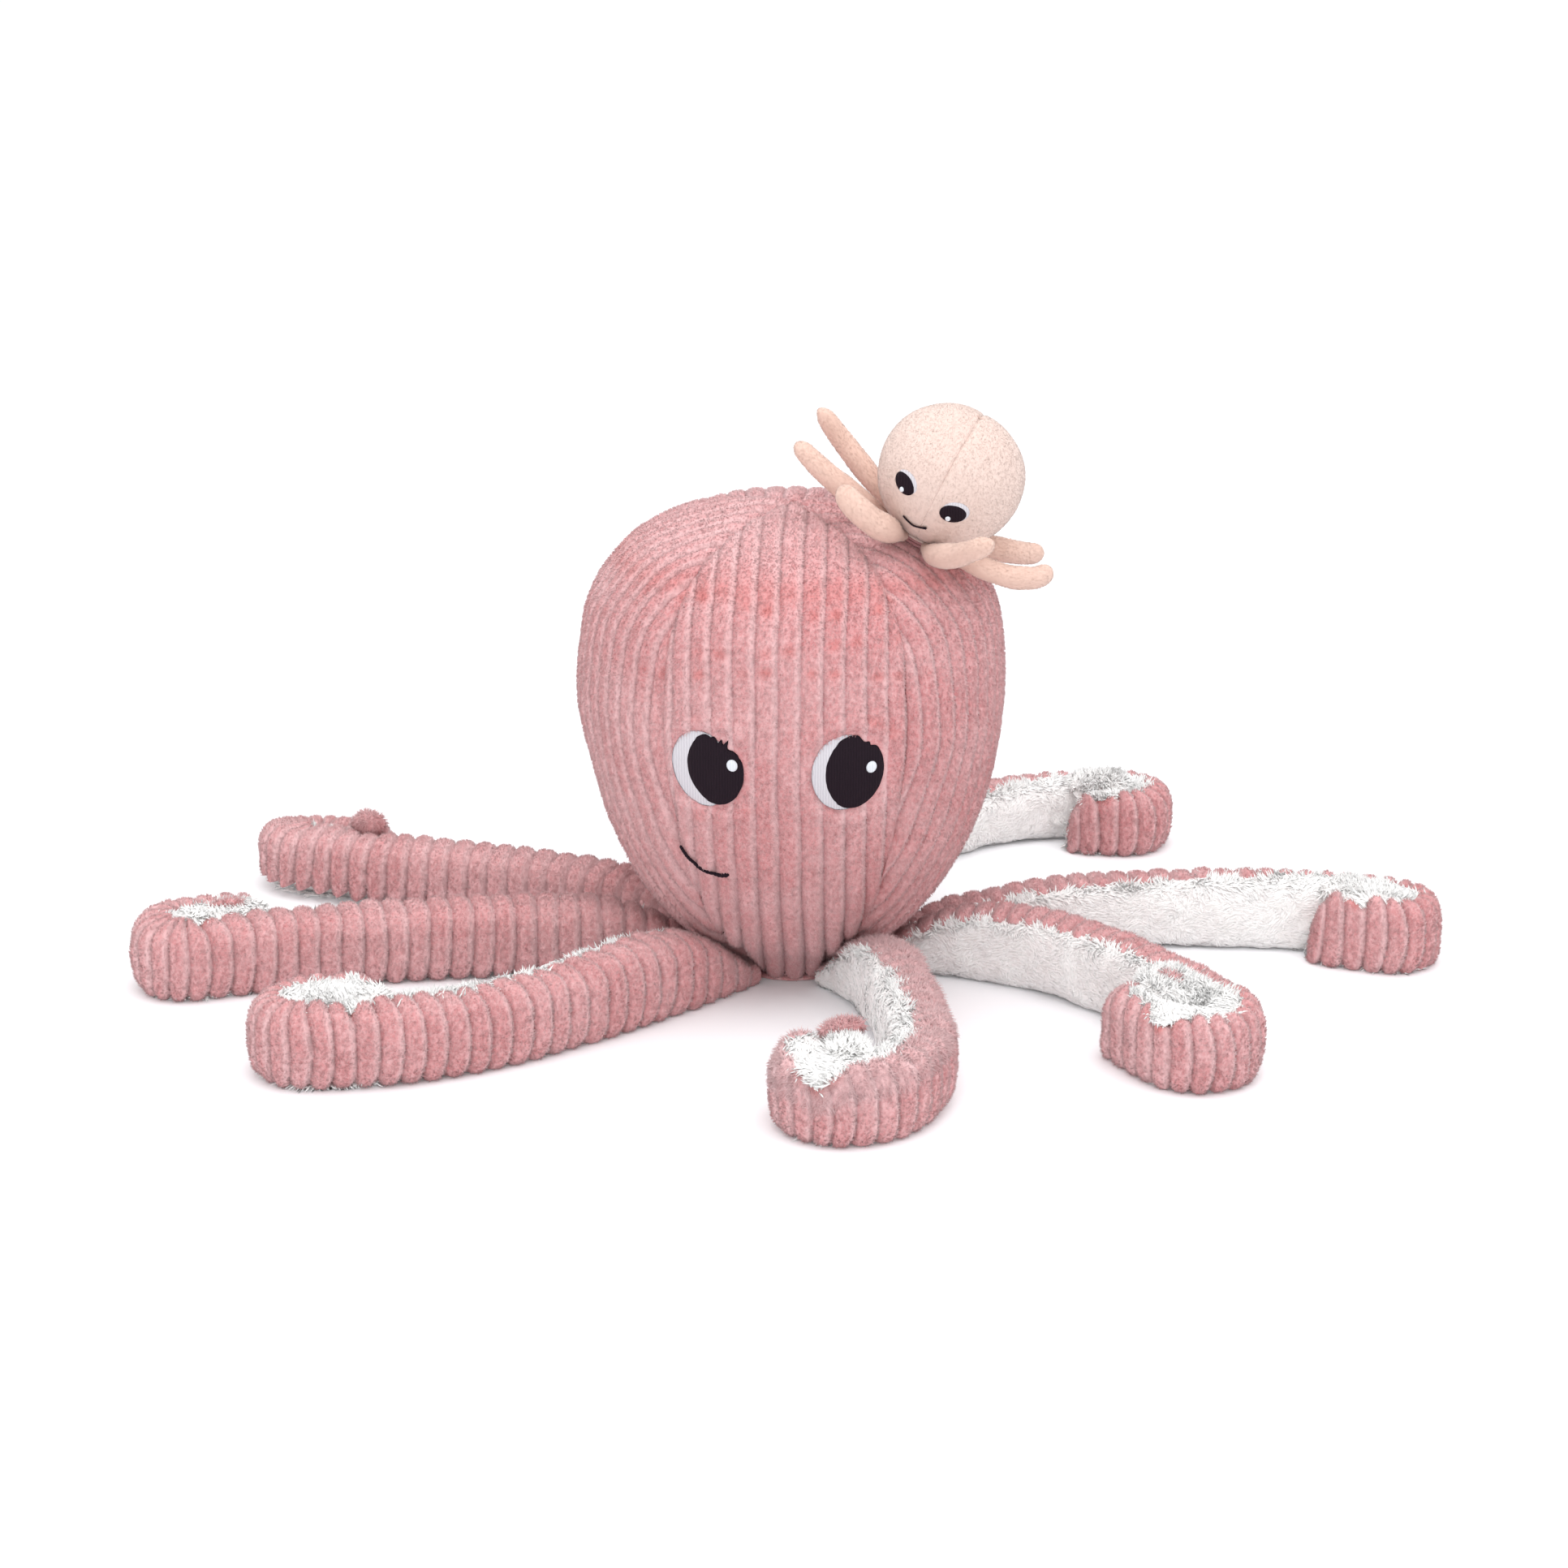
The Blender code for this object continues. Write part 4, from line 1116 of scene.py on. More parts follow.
def thread_along(points, outward, radius, plies, turns):
    """Rings of a twisted thread of this radius along the points."""
    along = unit(np.gradient(points, axis=0))
    across = unit(np.cross(along, outward))
    sides = np.linspace(0.0, 2.0 * math.pi, 18, endpoint=False)
    travel = np.linspace(0.0, 1.0, len(points))[:, None]
    lobes = np.abs(np.cos(0.5 * plies * (sides[None] - 2.0 * math.pi * turns * travel)))
    width = radius[:, None] * (0.82 + 0.26 * lobes)
    return points[:, None] + width[..., None] * round_rings(across, np.cross(across, along), sides)


def make_smile(name, node, body, dome, corner, low, size, shares, thread, relief, matrix=None):
    places = smooth_line(shares, 110)
    radius = float(dome.at_height(low)[0])
    azimuth = corner + np.degrees(places[:, 0] * size[0] / radius)
    height = low + places[:, 1] * size[1]
    lift = relief(azimuth, height) + thread * 0.25
    points = dome.place(azimuth, height, lift)
    outward = unit(dome.place(azimuth, height, lift + thread) - points)
    share = np.linspace(0.0, 1.0, len(points))
    girth = thread / 2.0 * (0.88 + 0.35 * rise(share, 0.72, 0.95)) * (1.0 - 0.6 * rise(share, 0.975, 1.0))
    girth = girth * (0.45 + 0.55 * rise(share, 0.0, 0.03))
    rings = thread_along(points, outward, girth, 2, 9)
    piece = tube_piece(name, rings, BLACK_THREAD, matrix)
    return finish_piece(piece, body, node)


def front_cloth_lift(azimuth, height):
    """Lift of the front panel's ribs at points of the smile, without the pile."""
    radius = head_dome.at_height(height)[0]
    start, end = HEAD_PANELS["head_front_panel"]
    place = radius * np.radians(azimuth - (start + end) / 2.0) / RIB_PITCH
    return 0.4 * HEAD_RIB_DEPTH * rib_relief(place + RIB_PHASES["head_front_panel"], 2.0)


make_smile(
    "smile_stitching",
    "smile_thread",
    "head",
    head_dome,
    SMILE_CORNER,
    SMILE_LOW,
    SMILE_SIZE,
    SMILE_SHARES,
    SMILE_THREAD,
    front_cloth_lift,
)
print("smile", round(1000.0 * SMILE_SIZE[0]), "mm wide")

# %% [markdown]
# ## Arms
# An arm is a stuffed tube that lies on edge. Its left side is corduroy with the ribs running
# across, its right side is long white plush. The tube folds back on itself at the tip, and one
# stitch through both layers holds the fold and pulls the top seam down into a notch.

# %% The middle line of an arm
ARM_STEPS = 600
FOLD_STEPS = 120
RETURN_STEPS = 100
# Steps on either side that the arm's taper is smoothed over
TAPER_BLUR = 30
TIP_ROUNDING = 0.013
UNSETTLED = (EVEN, 1.0, 1.0, 1.0)


def fold_radius(name):
    return FOLD_RADIUS * SETTLED.get(name, UNSETTLED)[3]


def arm_line(name):
    """Fine steps along an arm: place, heading, width share, height share and distance."""
    azimuth, run_share, return_share, turns = ARMS[name]
    radius = fold_radius(name)
    run = run_share * ARM_RUN
    share = np.linspace(0.0, 1.0, ARM_STEPS)
    heading = azimuth + np.interp(share, np.linspace(0.0, 1.0, len(turns)), turns)
    ahead = headings((heading[1:] + heading[:-1]) / 2.0) * run / (ARM_STEPS - 1)
    root = ROOT_RADIUS * headings(azimuth)
    line = np.vstack([root, root + np.cumsum(ahead, axis=0)])
    fold = np.linspace(0.0, 180.0, FOLD_STEPS)[1:]
    centre = line[-1] + radius * headings(heading[-1] - 90.0)
    bend = centre + radius * headings(heading[-1] - fold + 90.0)
    back = run - np.linspace(0.0, return_share * RETURN_LENGTH, RETURN_STEPS)[1:]
    turned = np.interp(back, share * run, heading)
    beside = read_line(line, share * run, back) + 2.0 * radius * headings(turned - 90.0)
    points = np.vstack([line, bend, beside])
    angle = np.concatenate([heading, heading[-1] - fold, turned - 180.0])
    travel = travelled(points)
    kernel = np.hanning(2 * TAPER_BLUR + 1)
    kernel = kernel / kernel.sum()
    steps, *girths = np.transpose(ARM_TAPER_SHARES)
    sharp = (np.interp(travel / ARM_TAPER, steps, shares) for shares in girths)
    wide, tall = (np.convolve(np.pad(s, TAPER_BLUR, mode="edge"), kernel, mode="valid") for s in sharp)
    sunk = rise(travel, run, run + math.pi * radius)
    heights, height, width, _ = SETTLED.get(name, UNSETTLED)
    before = np.interp(travel / run, SETTLED_AT, heights)
    tall = tall * (before + sunk * (height - before))
    wide = wide * (1.0 + sunk * (width - 1.0))
    ending = np.clip((travel - travel[-1] + TIP_ROUNDING) / TIP_ROUNDING, 0.0, 1.0)
    tip = np.sqrt(np.maximum(1.0 - (0.985 * ending) ** 2.4, 0.0))
    return points, angle, wide * tip, tall * tip, travel, run


def along_arm(line, wanted, by):
    """The arm's line read at new distances."""
    points, *columns, _ = line
    return read_line(points, by, wanted), *(np.interp(wanted, by, column) for column in columns)


def section_curve():
    """Angles of the arm's section and the share of its girth that each one has reached."""
    angles = np.linspace(SEAM_BOTTOM, 360.0 + SEAM_BOTTOM, 1441)
    turn = np.radians(angles)
    across = signed_power(np.cos(turn), SECTION_SQUARENESS) * ARM_WIDTH / 2.0
    upward = signed_power(np.sin(turn), SECTION_SQUARENESS) * ARM_HEIGHT / 2.0
    return angles, np.concatenate([[0.0], np.cumsum(np.hypot(np.diff(across), np.diff(upward)))])


SECTION_ANGLES, SECTION_GIRTH = section_curve()
print("an arm is", round(float(SECTION_GIRTH[-1]), 4), "m around")


def arm_surface(stations, angles, lift):
    """Points and outward directions on an arm, for rows of section angles."""
    place, heading, wide, tall, _ = stations
    half_wide = wide[:, None] * ARM_WIDTH / 2.0
    half_tall = tall[:, None] * ARM_HEIGHT / 2.0
    middle = np.maximum(half_tall - FLOOR_CUT, np.minimum(ROOT_HEIGHT, ARM_HEIGHT * (1.0 - tall[:, None])))
    turn = np.radians(angles)
    cosine = np.cos(turn)
    sine = np.sin(turn)
    slope = 2.0 - SECTION_SQUARENESS
    out_across = signed_power(cosine, slope) / np.maximum(half_wide, 1e-4)
    out_upward = signed_power(sine, slope) / np.maximum(half_tall, 1e-4)
    size = np.maximum(np.hypot(out_across, out_upward), 1e-9)
    out_across = out_across / size
    out_upward = out_upward / size
    left = headings(heading + 90.0)[:, None]
    shift = half_wide * signed_power(cosine, SECTION_SQUARENESS) + lift * out_across
    points = place[:, None] + shift[..., None] * left
    upward = half_tall * signed_power(sine, SECTION_SQUARENESS)
    points[..., 2] = np.maximum(middle + upward + lift * out_upward, FLOOR_GAP)
    outward = out_across[..., None] * left
    outward[..., 2] = out_upward
    return points, unit(outward)


def arm_lining(stations, angles):
    """The coarse inner side of an arm's cloth."""
    coarse = [values[::SHELL_STEP] for values in stations]
    return arm_surface(coarse, angles[::SHELL_STEP, ::SHELL_STEP], -COVER_DEPTH)[0]


# %% [markdown]
# The top seam wanders: near the head it leans over the white side, and in the fold it drops to
# the outer wall, so that the white shows on top. The notch is a short, sharp dip of the seam.

# %% Seams of an arm
NOTCH_WIDTH = 0.0062
# The corduroy wraps round the folded end: by how many degrees, and how far from the end
END_WRAP = 80.0
END_WRAPPED = (0.016, 0.004)
# Where the leans of the seams are given before the fold, as shares of the run
LEANS_AT = (0.33, 0.66, 0.88)


def seam_angles(name, travel, run):
    """Angles of the lower and the top seam along the arm, and how deep the notch is there."""
    bend = math.pi * fold_radius(name)
    total = run + bend + ARMS[name][2] * RETURN_LENGTH
    marks = (0.0, *(share * run for share in LEANS_AT), run + 0.5 * bend, total)
    lean = np.interp(travel, marks, TOP_SEAM_LEANS[name])
    lower = np.interp(travel, marks, LOWER_SEAM_LEANS.get(name, (0.0,) * len(marks)))
    past, depth = NOTCHES.get(name, (0.0, 0.0))
    dip = np.maximum(1.0 - np.abs(travel - run - past) / NOTCH_WIDTH, 0.0)
    closing = rise(travel, *(total - distance for distance in END_WRAPPED))
    return SEAM_BOTTOM + lower, SEAM_TOP + lean - depth * dip + END_WRAP * closing, dip


def angle_rows(low, high, columns):
    """Rows of section angles, evenly spaced around the cloth between two seams."""
    girth_low = np.interp(low, SECTION_ANGLES, SECTION_GIRTH)
    girth_high = np.interp(high, SECTION_ANGLES, SECTION_GIRTH)
    share = np.linspace(0.0, 1.0, columns)
    girth = girth_low[:, None] * (1.0 - share) + girth_high[:, None] * share
    return np.interp(girth, SECTION_GIRTH, SECTION_ANGLES)


# %% Sizes of the corduroy side
ARM_SPACING = 0.00072
ARM_RIB_DEPTH = 0.0021
ARM_RIB_BOW = 0.0024
ARM_WAVER = 0.0009
ARM_LUMPS = ((0.0006, 0.014, 1), (0.00035, 0.005, 2))
# Lumps of the cloth where the ribs have faded
FADED_LUMPS = ((0.0010, 0.008, 7),)
# How much deeper the grooves get towards the floor, and over what share of the cloth
LOW_GROOVES = 0.0014
LOW_SHARE = 0.24
NOTCH_DEPTH = 0.0022
ARM_SEAM_VALLEY = (0.0010, 0.0016)
# Locks on a square millimetre, their length and their width, as for the head
ARM_PILE = (2.2, 0.0012, 0.0005)
FADED_PILE = (1.8, 0.0026, 0.0005)
TUFT_PILE = (4.0, 0.0026, 0.0005)
COVER_DEPTH = 0.0034
# What a strip of cloth measures across, for the count of its columns and for its seams' falls
STRIP_GIRTH = 0.047
STRIP_WIDTH = 0.045
# Where the corduroy's cut end shows between the layers of the fold: how far back from the fold,
# how far towards the returning layer, how far above the fluff, and half its length, width and
# height
END_TUFTS = {
    "front_arm": (0.008, 0.008, 0.0008, 0.0078, 0.0034, 0.0022),
    "front_right_arm": (0.012, 0.002, 0.0, 0.0046, 0.0018, 0.0020),
    "mid_left_arm": (0.014, 0.0, 0.0, 0.0060, 0.0022, 0.0022),
    "back_left_arm": (0.024, -0.004, 0.0080, 0.0062, 0.0040, 0.0040),
}
FOLD_FLUFF_HALF_WIDTHS = {"front_left_arm": 0.0070, "mid_left_arm": 0.0060, "back_left_arm": 0.0042}
FOLD_FLUFF_HALF_WIDTH = 0.0090
FOLD_FLUFF_DEPTH = 0.0090
FOLD_FLUFF_SUNK = {"back_left_arm": 0.0060, "back_right_arm": -0.0028, "front_right_arm": -0.0018}
FOLD_FLUFF_SUNK_ELSEWHERE = -0.0010


# %% The gap in the fold, and the tuft in it


def valley_places(name, line, back):
    """Points and headings midway between the two layers of the fold, and their top."""
    travel, run = line[4], line[5]
    place, heading, _, tall, _ = along_arm(line, run - np.maximum(back, 0.0), travel)
    ahead = headings(heading)
    middle = place + fold_radius(name) * headings(heading - 90.0)
    middle = middle + np.maximum(-back, 0.0)[:, None] * ahead
    return middle, heading, tall * ARM_HEIGHT


def end_tuft(name, line, seed):
    """A small tuft of corduroy that peeps out of the fold."""
    back, beside, above, half_long, half_wide, half_tall = END_TUFTS[name]
    middle, heading, top = valley_places(name, line, np.array([back]))
    sunk = FOLD_FLUFF_SUNK.get(name, FOLD_FLUFF_SUNK_ELSEWHERE)
    along = headings(heading)[0]
    aside = headings(heading - 90.0)[0]
    centre = middle[0] + beside * aside + np.array([0.0, 0.0, top[0] - sunk + above])
    turn = np.linspace(0.0, 2.0 * math.pi, 33)[None, :]
    tilt = np.radians(np.linspace(-86.0, 86.0, 17))[:, None]
    ball = (np.sin(tilt) + 0.0 * turn)[..., None] * half_long * along
    ball = ball + (np.cos(tilt) * np.cos(turn))[..., None] * half_wide * aside
    ball = ball + (np.cos(tilt) * np.sin(turn))[..., None] * np.array([0.0, 0.0, half_tall])
    grid = centre + ball + 0.0005 * lumps(centre + ball, 0.003, seed)[..., None] * unit(ball)
    grid[:, -1] = grid[:, 0]
    cloth = np.tile((0.5, 0.0, 0.0), (*grid.shape[:2], 1))
    points, faces = closed_tube(grid[:, :-1])
    values = np.tile((0.5, 0.0, 0.2), (len(points), 1))
    return [part_of(points, faces, values), short_pile(grid[:, ::-1], cloth, TUFT_PILE, seed)]


# %% Corduroy side of an arm


def make_rib_side(name, seed):
    line = arm_line(name)
    points, heading, wide, _, _, run = line
    outside = travelled(points + (wide * ARM_WIDTH / 2.0)[:, None] * headings(heading + 90.0))
    along = np.linspace(0.0, outside[-1], fit_count(outside[-1], ARM_SPACING))
    stations = along_arm(line, along, outside)
    low, top, dip = seam_angles(name, stations[4], run)
    columns = fit_count(STRIP_GIRTH, ARM_SPACING)
    angles = angle_rows(low, top, columns)
    share = np.linspace(0.0, 1.0, columns)[None, :]
    off_middle = np.abs(2.0 * share - 1.0)
    bow = ARM_RIB_BOW * (1.0 - off_middle**2)
    still, _ = arm_surface(stations, angles, 0.0)
    place = (along[:, None] + bow + ARM_WAVER * lumps(still, 0.014, seed)) / RIB_PITCH
    size = rise(stations[4], 0.0, 0.03)[:, None] * rise(along[-1] - along, 0.0, 0.012)[:, None]
    fade = RIB_FADES.get(name, 1.0)
    faded = rise(share, fade - 0.10, fade + 0.14) * (fade < 1.0)
    size = size * (1.0 - 0.92 * faded)
    lift = ARM_RIB_DEPTH * (0.25 + 0.75 * size) * (1.0 + 0.75 * off_middle**4)
    lift = lift * (rib_relief(place, 4.2 - 2.5 * off_middle**3) - 0.70)
    lift += faded * layered(still, FADED_LUMPS, seed)
    lift += layered(still, ARM_LUMPS, seed)
    lift -= LOW_GROOVES * rise(LOW_SHARE - share, 0.0, LOW_SHARE) * (1.0 - rib_relief(place, 2.0))
    lift -= NOTCH_DEPTH * dip[:, None] * share**2
    lift -= ARM_SEAM_VALLEY[0] * bell((1.0 - share) * STRIP_WIDTH, ARM_SEAM_VALLEY[1])
    lift += layered(still, ROUGHNESS)
    outer, _ = arm_surface(stations, angles, lift)
    # Painted shade in the crease where the notch pulls the top seam down
    creased = 0.9 * dip[:, None] * rise(share, 0.82, 0.95)
    cloth = np.stack([-place, creased + 0.0 * place, 0.75 * faded + 0.0 * place], axis=-1)
    pile = short_pile(outer, cloth, ARM_PILE, seed, flow=(0.0, 0.0, 1.0))
    parts = [sheet_part(outer, arm_lining(stations, angles), cloth), pile]
    if fade < 1.0:
        parts.append(short_pile(outer, cloth, FADED_PILE, seed, faded + 0.0 * place))
    if name in END_TUFTS:
        parts.extend(end_tuft(name, line, seed))
    piece = new_piece(name + "_rib_cloth", parts, ARM_CORDUROY)
    return finish_arm_piece(piece, name, f"{name}_rib_strip")


ROOT_BEND = 0.030


def finish_arm_piece(piece, name, node):
    """An arm's piece, with a hinge worked out at the seam where the arm is sewn to the head; the hinge is
    passed on but not used.
    """
    outward = Vector(headings(ARMS[name][0]).tolist())
    hinge = ROOT_RADIUS * outward + Vector((0.0, 0.0, ROOT_HEIGHT))
    return finish_piece(piece, name, node, ("head", hinge, hinge + ROOT_BEND * outward))


# %% [markdown]
# The plush side has two kinds of locks. Those on the wall lie flat and follow the arm. Those
# along the seams stand up and hang over the corduroy, which hides the stitches.

# %% Sizes of the plush side
PLUSH_LUMPS = ((0.0008, 0.011, 0), (0.0004, 0.004, 1))
# How far the cloth lies under the pile
PLUSH_SUNK = 0.0008
WALL_LOCKS_PER_MM2 = 1.5
# A lock's length on the wall, and how much longer it is on top
WALL_LOCK = 0.0024
TOP_LOCK_MORE = 0.0006
SEAM_LOCK = 0.0034
SEAM_LOCK_ROOT = -0.0012
FLUFF_LOCK = 0.0032
HEM_LOCK = 0.0046
HEM_LOCK_ROOT = -0.0010
LOCK_WAVES = 0.006
SEAM_LOCKS_PER_MM = 11.0
LOCK_WIDTH = 0.0008
WHITE_SMOOTHNESS = 2.2
WHITE_NAP_RISE = 0.35
FOLD_FLUFF_PER_MM2 = 3.6
HEM_TUFTS = {"front_left_arm": 700, "mid_left_arm": 260}
HEM_TUFTS_ELSEWHERE = 120
PLUSH_SPACING = 0.0011


def make_plush_side(name, seed):
    random = np.random.default_rng(seed)
    line = arm_line(name)
    travel, run = line[4], line[5]
    along = np.linspace(0.0, travel[-1], fit_count(travel[-1], PLUSH_SPACING))
    stations = along_arm(line, along, travel)
    low, top, _ = seam_angles(name, along, run)
    columns = fit_count(STRIP_GIRTH, PLUSH_SPACING)
    angles = angle_rows(top, low + 360.0, columns)
    still, _ = arm_surface(stations, angles, 0.0)
    share = np.linspace(0.0, 1.0, columns)[None, :]
    edge = np.minimum(share, 1.0 - share) * STRIP_WIDTH
    lift = layered(still, PLUSH_LUMPS, seed) - PLUSH_SUNK
    lift -= ARM_SEAM_VALLEY[0] * bell(edge, ARM_SEAM_VALLEY[1])
    outer, _ = arm_surface(stations, angles, lift)
    bare = np.zeros((*outer.shape[:2], 3))
    parts = [sheet_part(outer, arm_lining(stations, angles), bare)]
    parts.append(wall_locks(outer, stations[1], edge, seed, random))
    parts.append(seam_locks(name, line, seed, random))
    parts.extend(fold_fluff(name, line, random))
    parts.append(hem_tufts(name, line, random))
    piece = new_piece(name + "_plush_cloth", parts, WHITE_PLUSH)
    return finish_arm_piece(piece, name, f"{name}_plush_strip")


# %% Locks on the wall and along the top seam


def wall_locks(outer, heading, edge, seed, random):
    """Locks on the wall lie along the arm in matted waves, and those on top stand up."""
    rows, columns = outer.shape[:2]
    places = scattered(outer, WALL_LOCKS_PER_MM2, random)
    roots = read_grid(outer, places)
    normal = unit(read_grid(grid_normals(outer), places))
    ahead = headings(read_grid(np.repeat(heading[:, None], columns, axis=1), places))
    comb = 0.7 * ahead + waves(roots, 0.0055, seed + 5) + 0.25 * random.normal(size=roots.shape)
    comb = in_the_cloth(comb, normal)
    near = read_grid(np.repeat(edge, rows, axis=0), places)
    stand = np.maximum(1.0 - rise(near, 0.001, 0.006), rise(normal[:, 2], 0.3, 0.9))[:, None]
    direction = unit((0.14 + 0.16 * stand) * normal + comb)
    length = (WALL_LOCK + TOP_LOCK_MORE * stand[:, 0]) * random.uniform(0.75, 1.2, len(roots))
    return white_locks(roots, normal, direction, 0.4 * comb, length, random)


def seam_locks(name, line, seed, random):
    """Locks along the top seam stand up and fall to both sides."""
    travel, run = line[4], line[5]
    count = int(travel[-1] * 1000.0 * SEAM_LOCKS_PER_MM)
    spots = random.uniform(0.004, travel[-1], count)
    angle = seam_angles(name, spots, run)[1] + 8.0 * random.normal(size=count) + 4.0
    grid, outward = arm_surface(along_arm(line, spots, travel), angle[:, None], SEAM_LOCK_ROOT)
    roots, normal = grid[:, 0], outward[:, 0]
    comb = unit(0.8 * waves(roots, LOCK_WAVES, seed + 9) + 0.22 * random.normal(size=roots.shape))
    grown = rise(spots, 0.0, 0.03) * 0.6 + 0.4
    length = SEAM_LOCK * grown * random.uniform(0.6, 1.15, count)
    return white_locks(roots, normal, unit(0.6 * normal + comb), 0.4 * comb, length, random)


# %% Fluff in the fold and under the hem


def fold_fluff(name, line, random):
    """Fluff that fills the gap between the two layers of the fold."""
    back = np.linspace(-0.004, ARMS[name][2] * RETURN_LENGTH - 0.004, 61)
    middle, heading, top = valley_places(name, line, back)
    share = np.linspace(-1.0, 1.0, len(back))
    swell = np.sqrt(np.maximum(1.0 - np.abs(share) ** 5, 0.004))[:, None]
    turn = np.radians(np.linspace(-90.0, 270.0, 33))[None, :]
    squared = signed_power(np.sin(turn), 0.5)
    aside = headings(heading - 90.0)[:, None]
    half_wide = FOLD_FLUFF_HALF_WIDTHS.get(name, FOLD_FLUFF_HALF_WIDTH)
    half_wide = half_wide * (0.4 + 0.6 * fold_radius(name) / FOLD_RADIUS)
    grid = middle[:, None] + (swell * half_wide * np.cos(turn))[..., None] * aside
    sunk = FOLD_FLUFF_SUNK.get(name, FOLD_FLUFF_SUNK_ELSEWHERE)
    height = top[:, None] - sunk + 0.5 * FOLD_FLUFF_DEPTH * (swell * squared - 1.0)
    grid[..., 2] = height + 0.0008 * lumps(grid, 0.006, 77)
    grid[:, -1] = grid[:, 0]
    body = part_of(*closed_tube(grid[:, :-1]))
    upper = grid[:, 8:25]
    places = scattered(upper, FOLD_FLUFF_PER_MM2, random)
    roots = read_grid(upper, places)
    lean = read_grid(np.cos(turn[:, 8:25, None]) * aside + 0.0 * upper, places)
    normal = unit(0.5 * lean + (0.0, 0.0, 1.0))
    comb = unit(waves(roots, LOCK_WAVES, 55) + 0.3 * random.normal(size=roots.shape))
    length = FLUFF_LOCK * random.uniform(0.7, 1.2, len(roots))
    return [body, white_locks(roots, normal, unit(0.28 * normal + comb), 0.3 * comb, length, random)]


def hem_tufts(name, line, random):
    """A few long locks that stick out under the folded end."""
    travel, run = line[4], line[5]
    count = HEM_TUFTS.get(name, HEM_TUFTS_ELSEWHERE)
    spots = random.uniform(run - 0.020, travel[-1] - 0.004, count)
    stations = along_arm(line, spots, travel)
    angle = SEAM_BOTTOM + 10.0 + 5.0 * random.normal(size=count)
    roots = arm_surface(stations, angle[:, None], HEM_LOCK_ROOT)[0][:, 0]
    outward = headings(stations[1] + 90.0)
    comb = 0.7 * waves(roots, LOCK_WAVES, 66) + 0.3 * random.normal(size=roots.shape)
    length = HEM_LOCK * random.uniform(0.5, 1.2, count)
    return white_locks(roots, outward, unit(outward + 0.5 * comb), 0.4 * comb, length, random)


def waves(points, size, seed):
    """A smooth field of directions."""
    return np.stack([lumps(points, size, seed + axis) for axis in range(3)], axis=1)


def white_locks(roots, normal, direction, curl, length, random):
    """Bent locks whose light is mostly that of the cloth under them."""
    lit = unit(normal + (0.0, 0.0, WHITE_NAP_RISE))
    *lock, nap = pile_locks(roots, lit, direction, curl, length, LOCK_WIDTH, random, True)
    return part_of(*lock, WHITE_SMOOTHNESS * nap)


# %% Filling of an arm, and all eight arms


def make_arm_filling(name, seed):
    line = arm_line(name)
    travel = line[4]
    stations = along_arm(line, np.linspace(0.002, travel[-1] - 0.004, 130), travel)
    angles = np.tile(np.linspace(0.0, 360.0, 28, endpoint=False), (130, 1))
    still, _ = arm_surface(stations, angles, -COVER_DEPTH)
    depth = -COVER_DEPTH - 0.0008 + 0.0006 * lumps(still, 0.009, seed)
    small = np.minimum(stations[2], stations[3])[:, None] * ARM_WIDTH / 2.0
    rings, _ = arm_surface(stations, angles, np.maximum(depth, -0.7 * small))
    rings[..., 2] = np.maximum(rings[..., 2], 0.0030 * np.minimum(stations[3][:, None], 1.0))
    piece = tube_piece(name + "_filling", rings, FILLING)
    return finish_arm_piece(piece, name, f"{name}_stuffing")


for number, name in enumerate(ARMS):
    ribbed = make_rib_side(name, 200 + 10 * number)
    furry = make_plush_side(name, 400 + 10 * number)
    make_arm_filling(name, 600 + number)
    print(name, len(ribbed.data.polygons), "and", len(furry.data.polygons), "faces")

# %% [markdown]
# ## The baby octopus
# It is the same toy in small: two panels of peach plush with a seam over the forehead, stitched
# eyes, and eight soft arms. It sits on a round patch of tape on the big head.

# %% Place and sizes of the baby octopus
PATCH_SEAT_SHARE = 0.938
PATCH_AZIMUTH = 335.0
PATCH_RADIUS = 0.0085
PATCH_THICKNESS = 0.0010
SEWN_GAP = 0.0003
BABY_FACE_TURN = -16.0
BABY_HEIGHT = 0.0435
BABY_RADIUS = 0.0240
BABY_CLOTH = 0.0012
BABY_DISC = 0.0012
BABY_PROFILE_SHARES = (
    (0.0, 0.42),
    (0.06, 0.62),
    (0.18, 0.83),
    (0.34, 0.96),
    (0.52, 1.0),
    (0.70, 0.93),
    (0.85, 0.74),
    (0.95, 0.46),
    (1.0, 0.06),
)
BABY_PANELS = {
    "baby_head_left_panel": (94.5, 274.5),
    "baby_head_right_panel": (274.5, 454.5),
}


def straight_profile(shares, height):
    """Radius and slope of the plain solid's profile at this height share."""
    for low, high in zip(shares, shares[1:]):
        if height <= high[0]:
            break
    share = (height - low[0]) / (high[0] - low[0])
    return low[1] + share * (high[1] - low[1]), (high[0] - low[0], high[1] - low[1])


def baby_frame():
    """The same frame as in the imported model: on the patch, with the face turned forwards."""
    radius_share, (up, across) = straight_profile(HEAD_PROFILE_SHARES, PATCH_SEAT_SHARE)
    along = Vector((across * HEAD_RADIUS, up * HEAD_HEIGHT)).normalized()
    outward = Vector(headings(PATCH_AZIMUTH).tolist())
    seat = radius_share * HEAD_RADIUS * outward
    seat.z = HEAD_BASE + PATCH_SEAT_SHARE * HEAD_HEIGHT
    axis = (along.y * outward + Vector((0.0, 0.0, -along.x))).normalized()
    back = Vector((0.0, 1.0, 0.0))
    back = (back - back.dot(axis) * axis).normalized()
    turned = Matrix((back.cross(axis), back, axis)).transposed().to_4x4()
    facing = Matrix.Rotation(math.radians(BABY_FACE_TURN), 4, "Z")
    return Matrix.Translation(seat) @ turned @ facing


